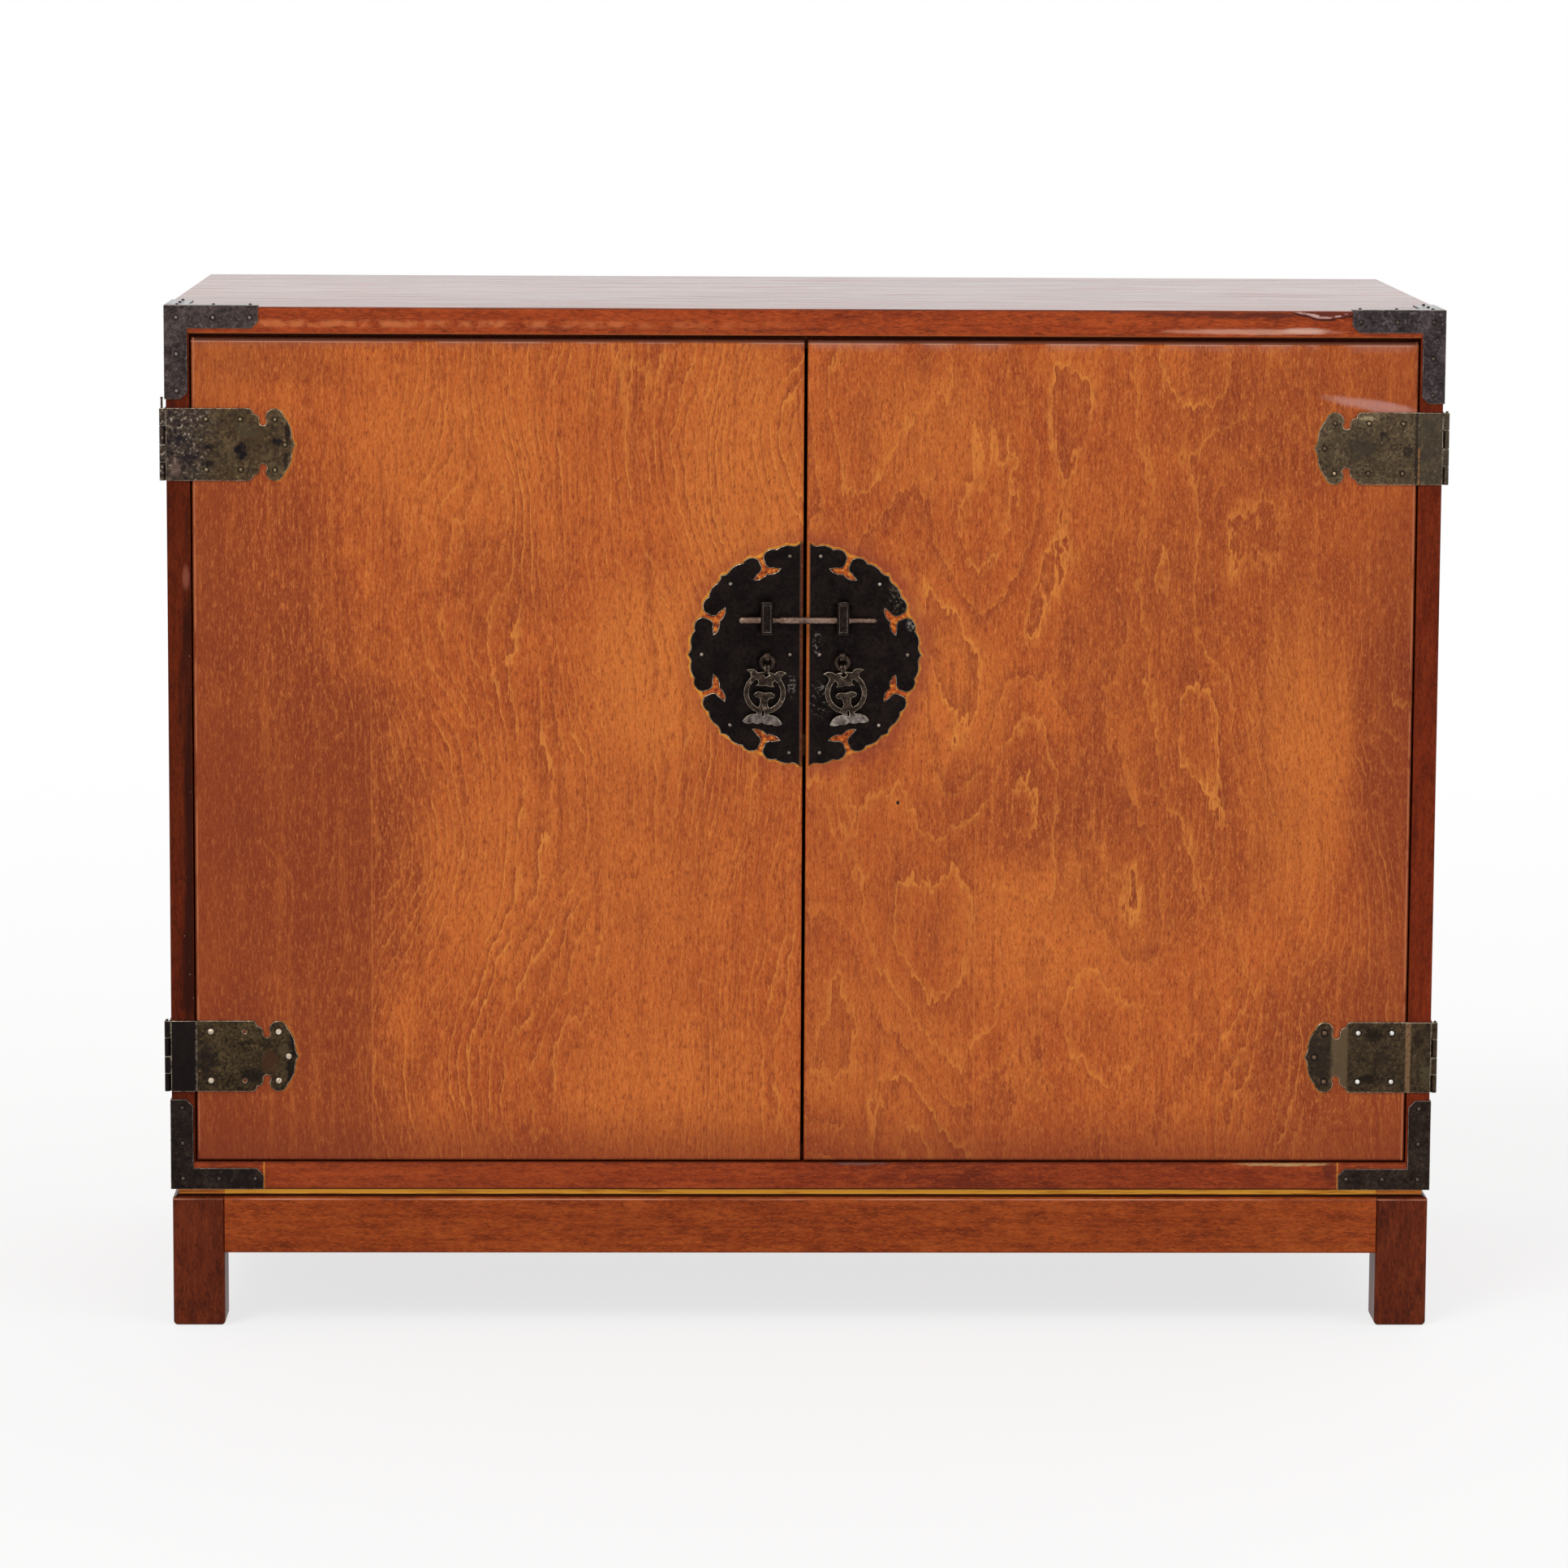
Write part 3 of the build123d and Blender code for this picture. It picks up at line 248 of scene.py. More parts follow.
def lacquered(name, along, seed, dark, base, light, rough=0.34, specular=0.12, clouds=0.6, lines=0.25):
    """Lacquered wood with pores, streaks and broad tone, and without figure."""
    g = Graph(name, rough=rough, specular=specular)
    pores = g.noise(along_grain(along, 1100, 230), seed, detail=3, rough=0.6)
    streaks = g.noise(along_grain(along, 90, 9), seed, detail=4, rough=0.65)
    mottle = g.noise(along_grain(along, 330, 75), seed + 2, detail=4, rough=0.7, distort=0.5)
    cloud = g.noise(along_grain(along, 64, 26), seed + 6, detail=5, rough=0.68)
    grain = g.noise(along_grain(along, 210, 3.2), seed + 8, detail=4, rough=0.6)
    tone = g.noise(along_grain(along, 9, 2.6), seed)
    colour = g.over(srgb(*base), dark, g.step(tone, 0.52, 0.3), 0.55)
    colour = g.over(colour, light, g.step(tone, 0.5, 0.7), 0.45)
    colour = g.over(colour, light, g.step(streaks, 0.5, 0.72), 0.5)
    colour = g.over(colour, dark, g.step(streaks, 0.46, 0.28), 0.6)
    colour = g.over(colour, light, g.step(grain, 0.5, 0.66), lines)
    colour = g.over(colour, dark, g.step(grain, 0.5, 0.34), 1.2 * lines)
    colour = g.over(colour, light, g.step(cloud, 0.5, 0.68), clouds)
    colour = g.over(colour, dark, g.step(cloud, 0.5, 0.32), 1.1 * clouds)
    colour = g.over(colour, light, g.step(mottle, 0.5, 0.66), 0.45)
    colour = g.over(colour, dark, g.step(mottle, 0.5, 0.34), 0.45)
    colour = g.over(colour, [v * 1.2 for v in light], g.step(pores, 0.54, 0.7), 0.4)
    colour = g.over(colour, [v * 0.55 for v in dark], g.step(pores, 0.46, 0.32), 0.5)
    g.roughness(streaks, rough - 0.08, rough + 0.1)
    g.bump(g.plus(g.mul(pores, 0.4), streaks), 0.1, 0.0004)
    return g, colour


def rings(g, field, line, glow):
    """Lines of a field's whole numbers: how light on a line, how light past it, how dark before it."""
    ring = g.math("FLOOR", field)
    place = g.minus(field, ring)
    chance = g.add("ShaderNodeTexWhiteNoise", noise_dimensions="1D")
    g.feed(chance.inputs["W"], ring)
    share = g.plus(g.mul(chance.outputs["Value"], 0.75), 0.25)
    crisp = g.mul(g.step(place, 0.0, line * 0.4), g.step(place, line * 1.6, line * 0.6), share)
    after = g.mul(g.step(place, 0.0, 0.04), g.step(place, glow, 0.05), share)
    dark = g.mul(g.step(place, 1.0 - 1.4 * glow, 0.97), share)
    return crisp, after, dark


# Uneven ovals of darker and of lighter lacquer on each door: place, half width and height, strength.
DARK_CLOUDS = {
    "left": (((-0.43, 0.45), (0.13, 0.24), 0.7), ((-0.49, 0.68), (0.11, 0.16), 0.5),
             ((-0.46, 0.2), (0.15, 0.14), 0.65), ((-0.265, 0.67), (0.07, 0.06), 0.3),
             ((-0.53, 0.4), (0.06, 0.4), 0.4), ((-0.46, 0.86), (0.08, 0.03), 0.4)),
    "right": (((0.53, 0.5), (0.06, 0.18), 0.65), ((0.53, 0.64), (0.06, 0.14), 0.45),
              ((0.3, 0.63), (0.09, 0.15), 0.35), ((0.33, 0.44), (0.15, 0.12), 0.35),
              ((0.43, 0.82), (0.15, 0.09), 0.35), ((0.2, 0.47), (0.12, 0.07), 0.35),
              ((0.4, 0.7), (0.12, 0.2), 0.25), ((0.5, 0.24), (0.14, 0.13), 0.6)),
}
LIGHT_CLOUDS = {
    "left": (((-0.13, 0.59), (0.08, 0.11), 0.7), ((-0.05, 0.76), (0.08, 0.14), 0.6),
             ((-0.31, 0.78), (0.12, 0.09), 0.35), ((-0.2, 0.42), (0.17, 0.16), 0.3),
             ((-0.12, 0.22), (0.12, 0.09), 0.35), ((-0.52, 0.86), (0.06, 0.05), 0.4)),
    "right": (((0.44, 0.52), (0.06, 0.17), 0.55), ((0.11, 0.8), (0.09, 0.07), 0.4),
              ((0.22, 0.36), (0.12, 0.09), 0.4), ((0.13, 0.57), (0.07, 0.09), 0.35),
              ((0.06, 0.24), (0.09, 0.1), 0.3)),
}
SEAM = {"left": (-0.381, 0.55), "right": (0.152, 0.5)}     # where two leaves of veneer meet, and how high


def door_wood(side):
    """A door's face: rotary-cut figure in orange-brown lacquer, worn and darkened at its edges, with painted
    shade and painted highlights on its rounded edges.
    """
    s = SIDES[side]
    seed = 2.0 if side == "left" else 5.4
    g = Graph(f"door_wood_{side}", rough=0.34, specular=0.14)
    out = g.mul(g.x, float(s))
    pores = g.noise((1150, 1150, 300), seed, detail=3, rough=0.6)
    fibre = g.noise((430, 430, 105), seed, detail=4, rough=0.7)
    streaks = g.noise((110, 110, 7), seed, detail=4, rough=0.65)
    mottle = g.noise((30, 30, 16), seed, detail=5, rough=0.74)
    tone = g.noise((5, 5, 3), seed, detail=2)
    ragged = g.mul(g.minus(mottle, 0.5), 1.6)
    soft = g.mul(ragged, 0.5)

    colour = g.over(srgb(189, 92, 37), (168, 74, 29), g.step(tone, 0.56, 0.36), 0.7)
    colour = g.over(colour, (208, 110, 44), g.step(mottle, 0.49, 0.66), 0.55)
    colour = g.over(colour, (150, 62, 25), g.step(mottle, 0.5, 0.33), 0.55)
    for place, reach, strength in LIGHT_CLOUDS[side]:
        colour = g.over(colour, (216, 120, 50), g.spot(g.x, g.z, place, reach, soft), strength)
    for place, reach, strength in DARK_CLOUDS[side]:
        colour = g.over(colour, (124, 47, 20), g.spot(g.x, g.z, place, reach, soft), strength)
    colour = g.over(colour, (214, 118, 50), g.step(streaks, 0.5, 0.72), 0.4)
    colour = g.over(colour, (140, 56, 23), g.step(streaks, 0.48, 0.28), 0.45)

    # Close upright lines, and wider loops and tongues, each where the veneer shows them.
    jag = g.minus(g.noise((110, 110, 34), seed, detail=2, rough=0.6), 0.5)
    tremble = g.minus(g.noise((330, 330, 90), seed + 1), 0.5)
    sway = g.minus(g.noise((4.6, 4.6, 2.6), seed + 1, detail=1), 0.5)
    wave = g.minus(g.noise((17, 17, 7), seed + 2, detail=1), 0.5)
    broken = g.noise((60, 60, 16), seed + 5, detail=2)
    broken = g.plus(g.mul(g.step(broken, 0.34, 0.6), 0.8), 0.2)
    upright = g.plus(g.mul(g.x, 1 / 0.0088), g.mul(sway, 26.0), g.mul(wave, 4.2), g.mul(jag, 1.1),
                     g.mul(tremble, 0.4))
    crisp, after, dark = rings(g, upright, 0.13, 0.4)
    patch = g.noise((8, 8, 3), seed + 4)
    if side == "left":
        where = g.mul(g.step(g.plus(g.x, g.mul(mottle, 0.1)), -0.42, -0.2), g.step(patch, 0.25, 0.6))
    else:
        where = g.mul(g.step(g.x, 0.26, 0.4), g.step(patch, 0.3, 0.6), g.step(g.z, 0.72, 0.5))
    where = g.mul(g.plus(g.mul(where, 0.8), 0.2), broken)
    colour = g.over(colour, (132, 54, 24), g.mul(dark, where), 0.6)
    colour = g.over(colour, (212, 122, 50), g.mul(after, where), 0.5)
    upright_line = g.mul(crisp, where)

    slow = g.noise((9.5, 9.5, 4.4), seed + 7, detail=1, rough=0.35)
    loops = g.plus(g.mul(slow, 9.0), g.mul(wave, 0.9), g.mul(jag, 0.95), g.mul(tremble, 0.22))
    crisp, after, dark = rings(g, loops, 0.09, 0.36)
    if side == "left":
        where = g.mul(g.step(g.x, -0.3, -0.16), g.step(patch, 0.55, 0.75), 0.6)
    else:
        where = g.mul(g.step(g.x, 0.46, 0.34), g.step(patch, 0.2, 0.5), 0.75)
    where = g.mul(where, g.plus(g.mul(broken, 0.7), 0.3))
    colour = g.over(colour, (128, 50, 23), g.mul(dark, where), 0.75)
    colour = g.over(colour, (218, 126, 52), g.mul(after, where), 0.75)

    colour = g.over(colour, (222, 130, 64), g.step(fibre, 0.51, 0.67), 0.54)
    colour = g.over(colour, (122, 44, 20), g.step(fibre, 0.49, 0.33), 0.62)
    colour = g.over(colour, (216, 138, 76), g.step(pores, 0.54, 0.7), 0.42)
    colour = g.over(colour, (78, 30, 16), g.step(pores, 0.46, 0.32), 0.55)
    colour = g.over(colour, (226, 146, 66), upright_line, 0.5)
    colour = g.over(colour, (230, 150, 66), g.mul(crisp, where), 0.62)

    plain = colour

    # A joint in the veneer, then the edges of the door: broad darker margins, and painted shade and painted
    # highlights along the rounded edges.
    seam_x, seam_top = SEAM[side]
    low = g.step(g.plus(g.z, g.mul(ragged, 0.04)), seam_top + 0.05, seam_top - 0.05)
    leaf = 0.3 if side == "left" else 0.12
    colour = g.over(colour, (130, 52, 22), g.mul(g.step(g.x, seam_x, seam_x - 0.0012), low), leaf)
    colour = g.over(colour, (206, 120, 56), g.mul(g.band(g.x, seam_x, 0.0005, 0.0005), low), 0.3)
    outer = g.step(g.plus(out, g.mul(ragged, 0.03)), DOOR_OUT - 0.09, DOOR_OUT + 0.01)
    colour = g.over(colour, (128, 50, 22), outer, 0.4)
    bottom = g.step(g.minus(g.z, g.mul(ragged, 0.03)), DOOR_BOTTOM + 0.06, DOOR_BOTTOM - 0.01)
    colour = g.over(colour, (118, 46, 23), bottom, 0.6)
    # Painted shade on the rounded bottom and outer edges, beside the gaps.
    colour = g.over(colour, (70, 26, 14), g.step(g.z, DOOR_BOTTOM + 0.004, DOOR_BOTTOM), 0.6)
    colour = g.over(colour, (80, 30, 16), g.step(out, DOOR_OUT - 0.004, DOOR_OUT), 0.6)
    # The noise rubbed only breaks the painted sheen and painted highlight lines on the edges below into
    # patches.
    rubbed = g.noise((30, 30, 30), seed + 3, detail=3)
    # Painted sheen on the rounded top edge.
    top_edge_sheen = g.step(g.plus(g.z, g.mul(ragged, 0.004)), DOOR_TOP - 0.012, DOOR_TOP)
    top_sheen_tint = (138, 82, 62) if side == "left" else (176, 122, 106)
    colour = g.over(colour, top_sheen_tint, g.mul(top_edge_sheen, g.step(rubbed, 0.36, 0.6)), 0.55)
    # Painted shade on the top few millimetres of the rounded edge, with a thin painted highlight line through
    # it.
    colour = g.over(colour, (92, 46, 30), g.step(g.z, DOOR_TOP - 0.004, DOOR_TOP - 0.0026), 0.75)
    top_highlight_line = g.mul(g.band(g.z, DOOR_TOP - 0.0034, 0.0002, 0.0005), g.step(rubbed, 0.36, 0.56))
    colour = g.over(colour, (200, 150, 130), top_highlight_line, 0.6)
    colour = g.over(colour, (64, 28, 18), g.step(g.z, DOOR_TOP - 0.0022, DOOR_TOP - 0.001), 0.9)
    # A painted highlight line on the rounded outer edge.
    side_highlight_line = g.mul(g.band(out, DOOR_OUT - 0.0022, 0.0004, 0.0008), g.step(rubbed, 0.36, 0.56))
    colour = g.over(colour, (204, 124, 84), side_highlight_line, 0.5)
    if side == "right":
        bowed = g.plus(g.z, g.mul(g.minus(g.x, 0.5), 0.16))
        sheen = g.spot(g.x, bowed, (0.5, HINGE_Z["upper"] + 0.0375), (0.052, 0.0065), ragged)
        colour = g.over(colour, (204, 152, 142), sheen, 0.5)
        colour = g.over(colour, (10, 6, 6), g.spot(g.x, g.z, (0.083, 0.472), (0.0018, 0.0026)))

    # Wax and bare wood round the lock plate, in its notches and in the strip beside its edge.
    beyond = outline_radius(g, f"lock_plate_{side}", (s * LOCK_EDGE, LOCK_Z), 0.945, 240)
    chips = g.noise((260, 260, 260), seed, detail=2)
    haze = g.step(g.plus(beyond, g.mul(ragged, 0.006)), 0.018, 0.003)
    colour = g.over(colour, (140, 58, 40), haze, 0.3 if side == "left" else 0.5)
    ring = g.step(g.plus(beyond, g.mul(g.minus(chips, 0.5), 0.004)), 0.0021, 0.0008)
    ring = g.mul(ring, g.plus(g.mul(g.step(g.noise((70, 70, 70), seed), 0.4, 0.58), 0.65), 0.35))
    colour = g.over(colour, (236, 156, 48), ring, 0.9 if side == "left" else 0.6)
    inside = g.step(beyond, -0.001, -0.0022)
    colour = g.over(colour, (184, 84, 28), inside)
    colour = g.over(colour, (232, 150, 56), g.mul(inside, g.step(chips, 0.54, 0.62)), 0.8)
    colour = g.over(colour, (88, 36, 18), g.mul(inside, g.step(chips, 0.46, 0.38)), 0.8)
    strip = g.mul(g.step(out, LOCK_EDGE + 0.001, LOCK_EDGE - 0.0002), g.band(g.z, LOCK_Z, LOCK_RADIUS, 0.002))
    colour = g.over(colour, (86, 40, 24) if side == "left" else (178, 92, 34), strip, 0.9)
    for level in LEVELS:
        head = (s * (CASE_HALF - 0.09), HINGE_Z[level])
        near = outline_radius(g, f"hinge_strap_{level}_{side}", head, 0.0, 48)
        line = g.mul(g.step(g.plus(near, g.mul(g.minus(chips, 0.5), 0.003)), 0.0022, 0.0008),
                     g.step(out, CASE_HALF - 0.092, CASE_HALF - 0.1))
        colour = g.over(colour, (214, 128, 42), line, 0.6 if (level, side) == ("upper", "left") else 0.35)
    g.colour(g.mixed(plain, colour, g.step(g.y, FRONT + 0.006, FRONT + 0.004)))
    g.roughness(streaks, 0.26, 0.44)
    ripple = g.noise((34, 34, 170), seed)
    g.bump(g.plus(g.mul(fibre, 0.6), streaks, g.mul(ripple, 0.5)), 0.14, 0.0005)
    return g.mat


def rail_wood(name, seed, dark, base, light):
    """The case's level boards, lacquered red-brown."""
    return lacquered(name, "x", seed, dark, base, light, clouds=0.4)


def top_rail_wood():
    """The top board's front edge, with a split, painted glints and painted highlights on its lips near its
    right bracket, a painted highlight band along its left part, and another on its rounded lower edge.
    """
    g, colour = rail_wood("top_rail", 1.0, dark=(98, 34, 15), base=(150, 57, 21), light=(180, 80, 34))
    ragged = g.mul(g.minus(g.noise((60, 60, 300), 4.0, detail=3), 0.5), 2.2)
    # The noise rubbed only breaks up the painted highlight band and the painted glints below.
    rubbed = g.noise((90, 90, 90), 5.0, detail=3)
    drop = g.minus(CASE_TOP, g.z)
    # A painted highlight band along the board's left part.
    bright = g.mul(g.band(drop, 0.0145, 0.001, 0.004), g.step(rubbed, 0.36, 0.62), g.step(g.x, 0.1, -0.3))
    colour = g.over(colour, (212, 122, 72), bright, 0.6)
    colour = g.over(colour, (84, 34, 24), g.spot(g.x, drop, (0.37, 0.004), (0.09, 0.0035), ragged), 0.8)
    colour = g.over(colour, (60, 40, 40), g.spot(g.x, drop, (0.27, 0.001), (0.008, 0.002)), 0.8)
    # Painted highlights on the lower lip near the right bracket.
    lip = g.spot(g.x, drop, (0.39, 0.0185), (0.09, 0.0032), g.mul(ragged, 0.4))
    colour = g.over(colour, (214, 160, 136), lip, 0.6)
    lip = g.spot(g.x, drop, (0.436, 0.0175), (0.026, 0.0036), g.mul(ragged, 0.4))
    colour = g.over(colour, (228, 190, 172), lip, 0.5)

    from_tip = g.math("ABSOLUTE", g.minus(g.x, 0.456))
    bend = g.math("SQRT", g.plus(g.mul(from_tip, from_tip), 0.00008))
    depth = g.plus(g.minus(0.0105, g.mul(bend, 0.27)), g.mul(ragged, 0.0016))
    above = g.minus(depth, drop)
    near = g.step(from_tip, 0.035, 0.027)
    colour = g.over(colour, (92, 38, 32), g.mul(g.step(above, 0.0, 0.0006), near), 0.85)
    glints = g.mul(g.band(above, 0.0024, 0.0003, 0.0012), near, g.step(rubbed, 0.46, 0.58))
    colour = g.over(colour, (226, 184, 176), glints, 0.75)
    colour = g.over(colour, (30, 10, 8), g.mul(g.band(above, 0.0, 0.0003, 0.0006), near), 0.85)
    upper_edge = g.step(drop, 0.0022, 0.0006)
    colour = g.over(colour, (112, 58, 36), upper_edge, 0.6)
    # A painted highlight along the rounded lower edge.
    lower_edge = g.step(g.minus(drop, g.mul(ragged, 0.0006)), 0.0215, 0.0232)
    colour = g.over(colour, (160, 84, 38), lower_edge, 0.6)
    g.colour(colour)
    return g.mat


def bottom_rail_wood():
    """The bottom board's front edge, with bare and chafed spots below the right door."""
    g, colour = rail_wood("bottom_rail", 3.0, dark=(86, 27, 11), base=(140, 53, 19), light=(170, 76, 32))
    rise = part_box("bottom_panel")[1][2]
    ragged = g.mul(g.minus(g.noise((120, 120, 500), 4.0, detail=3), 0.5), 2.4)
    bare = g.spot(g.x, g.z, (0.43, rise - 0.001), (0.05, 0.0026), ragged)
    colour = g.over(colour, (190, 150, 100), bare, 0.9)
    chafed = g.spot(g.x, g.z, (0.05, rise - 0.0005), (0.03, 0.002), ragged)
    colour = g.over(colour, (112, 84, 80), chafed, 0.9)
    upper_edge = g.step(g.plus(g.z, g.mul(ragged, 0.0004)), rise - 0.002, rise)
    colour = g.over(colour, (60, 26, 18), upper_edge, 0.6)
    # Painted shade along the case's lower edge, above the gap to the stand.
    colour = g.over(colour, (44, 18, 10), g.step(g.z, STAND_TOP + 0.0018, STAND_TOP + 0.0004), 0.9)
    end = g.plus(g.math("ABSOLUTE", g.x), g.mul(ragged, 0.0005))
    colour = g.over(colour, (208, 130, 46), g.band(end, CASE_HALF - 0.0814, 0.0004, 0.0006), 0.75)
    worn = g.spot(g.x, g.z, (CASE_HALF - 0.088, rise - 0.009), (0.007, 0.011), ragged)
    colour = g.over(colour, (88, 30, 18), worn, 0.7)
    g.colour(colour)
    return g.mat


def stile_wood(side):
    """A side board's front edge: deep red, with a long dark run beside the left door."""
    if side == "left":
        g, colour = lacquered("stile_left", "z", 4.0, (52, 14, 4), (88, 28, 8), (108, 40, 13),
                              specular=0.06)
        inner = -CASE_HALF + STILE
        ragged = g.mul(g.minus(g.noise((150, 150, 12), 2.0, detail=3), 0.5), 2.4)
        run = g.spot(g.x, g.z, (inner, 0.47), (0.0125, 0.28), ragged)
        colour = g.over(colour, (46, 14, 6), run, 0.9)
        specks = g.noise((420, 420, 240), 6.0, detail=1)
        colour = g.over(colour, (170, 130, 120), g.mul(run, g.step(specks, 0.72, 0.78)), 0.8)
        knock = g.spot(g.x, g.z, (inner - 0.004, 0.67), (0.004, 0.014), ragged)
        colour = g.over(colour, (150, 84, 66), knock, 0.6)
    else:
        g, colour = lacquered("stile_right", "z", 6.0, (78, 24, 8), (110, 36, 13), (130, 50, 20),
                              specular=0.06)
    g.colour(colour)
    return g.mat


def case_wood(name, along, seed):
    """Dark red lacquer, for the case's sides and bottom and the door stops."""
    g, colour = lacquered(name, along, seed, (86, 28, 9), (128, 48, 17), (158, 72, 29), clouds=0.12,
                          lines=0.45)
    g.colour(colour)
    return g.mat


def top_wood():
    """The top's upper face: the same lacquer rubbed to a gloss, with hair scratches."""
    g, colour = lacquered("case_top", "x", 1.0, (74, 24, 10), (126, 50, 24), (158, 76, 40), specular=0.3,
                          clouds=0.12, lines=0.45)
    scratch = g.noise((9, 260, 9), 3.0, detail=3, rough=0.7)
    colour = g.over(colour, (60, 22, 12), g.step(scratch, 0.5, 0.36), 0.7)
    g.colour(colour)
    g.roughness(g.step(scratch, 0.4, 0.75), 0.14, 0.3)
    return g.mat


def stand_wood(name, along, seed, dark, base, light, gold, gold_dark):
    """Lacquered wood with a gilt fillet below the case, a painted shadow line along the fillet's top, and a
    painted highlight line at the shoulder.
    """
    g, colour = lacquered(name, along, seed, dark, base, light, specular=0.08)
    rub = g.noise((26, 26, 500), seed + 2, detail=3)
    gilt = g.over(srgb(*gold), gold_dark, g.step(rub, 0.5, 0.34), 0.8)
    # A painted shadow line along the top of the fillet, under the case.
    gilt = g.over(gilt, (58, 28, 12), g.step(g.z, STAND_TOP - 0.0014, STAND_TOP - 0.0008), 0.9)
    colour = g.mixed(colour, gilt, g.step(g.z, STAND_TOP - 0.0054, STAND_TOP - 0.005))
    colour = g.over(colour, (40, 15, 8), g.band(g.z, STAND_TOP - 0.0062, 0.0008, 0.0005), 0.9)
    # The noise rubbed only breaks up the painted highlight line at the shoulder.
    rubbed = g.noise((9, 9, 9), seed + 5, detail=3)
    shoulder = g.mul(g.band(g.z, STAND_TOP - 0.0092, 0.0003, 0.0005), g.plus(g.step(rubbed, 0.4, 0.62), 0.25))
    colour = g.over(colour, (214, 150, 124), shoulder, 0.62)
    lower = g.step(g.z, STAND_TOP - 0.056, STAND_TOP - 0.0575)
    colour = g.over(colour, (96, 36, 18), g.mul(lower, g.step(g.z, 0.06, 0.065)), 0.6)
    g.colour(colour)
    return g.mat


def inner_wood(name, along, seed):
    """Plain oiled board, for the shelf, the back and the corner blocks."""
    g, colour = lacquered(name, along, seed, (146, 92, 54), (178, 122, 76), (200, 148, 98), rough=0.6,
                          clouds=0.1, lines=0.5)
    g.colour(colour)
    return g.mat


# ---- iron ------------------------------------------------------------------------------------------
def aged_iron(name, base, dark, warm, seed, rough=0.44, blotch=0.5, pits=1.0, fine=1.0, grain=0.6):
    """Forged iron under old wax: blotches, small pits and hammer marks."""
    g = Graph(name, rough=rough, metal=IRON_METAL, specular=0.2)
    cloud = g.noise((55 * fine,) * 3, seed, detail=5, rough=0.62)
    blot = g.noise((130 * fine,) * 3, seed + 1, detail=6, rough=0.7, distort=0.4)
    pit = g.noise((900,) * 3, seed, detail=2)
    grit = g.noise((340,) * 3, seed + 3, detail=4, rough=0.7)
    colour = g.over(srgb(*base), warm, g.step(cloud, 0.4, 0.64))
    colour = g.over(colour, dark, g.step(grit, 0.5, 0.36), grain)
    colour = g.over(colour, [v * 1.5 for v in warm], g.step(grit, 0.56, 0.7), grain)
    colour = g.over(colour, dark, g.step(blot, 0.5, 0.62), blotch)
    colour = g.over(colour, [v * 0.45 for v in dark], g.step(pit, 0.36, 0.28), 0.7 * pits)
    g.roughness(blot, rough - 0.1, rough + 0.12)
    hammer = g.noise((160,) * 3, seed + 2)
    g.bump(g.plus(g.mul(hammer, 1.6), g.mul(pit, 0.5), g.mul(grit, 0.4)), 0.35, 0.0004)
    return g, colour


def plain_iron(name, *args, **kw):
    """Aged iron with no marks of its own."""
    g, colour = aged_iron(name, *args, **kw)
    g.colour(colour)
    return g.mat


def nail_centres(name):
    """Where the heads of a node's nails are."""
    groups = []
    for vertex in nodes[name].data.vertices:
        for group in groups:
            if (vertex.co - group[0]).length < 0.008:
                group.append(vertex.co.copy())
                break
        else:
            groups.append([vertex.co.copy()])
    return [sum(group, Vector()) / len(group) for group in groups]


def nail_rings(g, colour, name, radius, tint=(22, 18, 17), strength=0.75, keep=None):
    """A darker ring round each of a node's nail heads."""
    nearest = 1.0
    for centre in nail_centres(name):
        if keep is None or keep(centre):
            apart = g.add("ShaderNodeVectorMath", operation="DISTANCE")
            g.feed(apart.inputs[0], g.pos)
            apart.inputs[1].default_value = centre
            nearest = g.math("MINIMUM", apart.outputs["Value"], nearest)
    return g.over(colour, tint, g.step(nearest, radius + 0.0016, radius + 0.0002), strength)


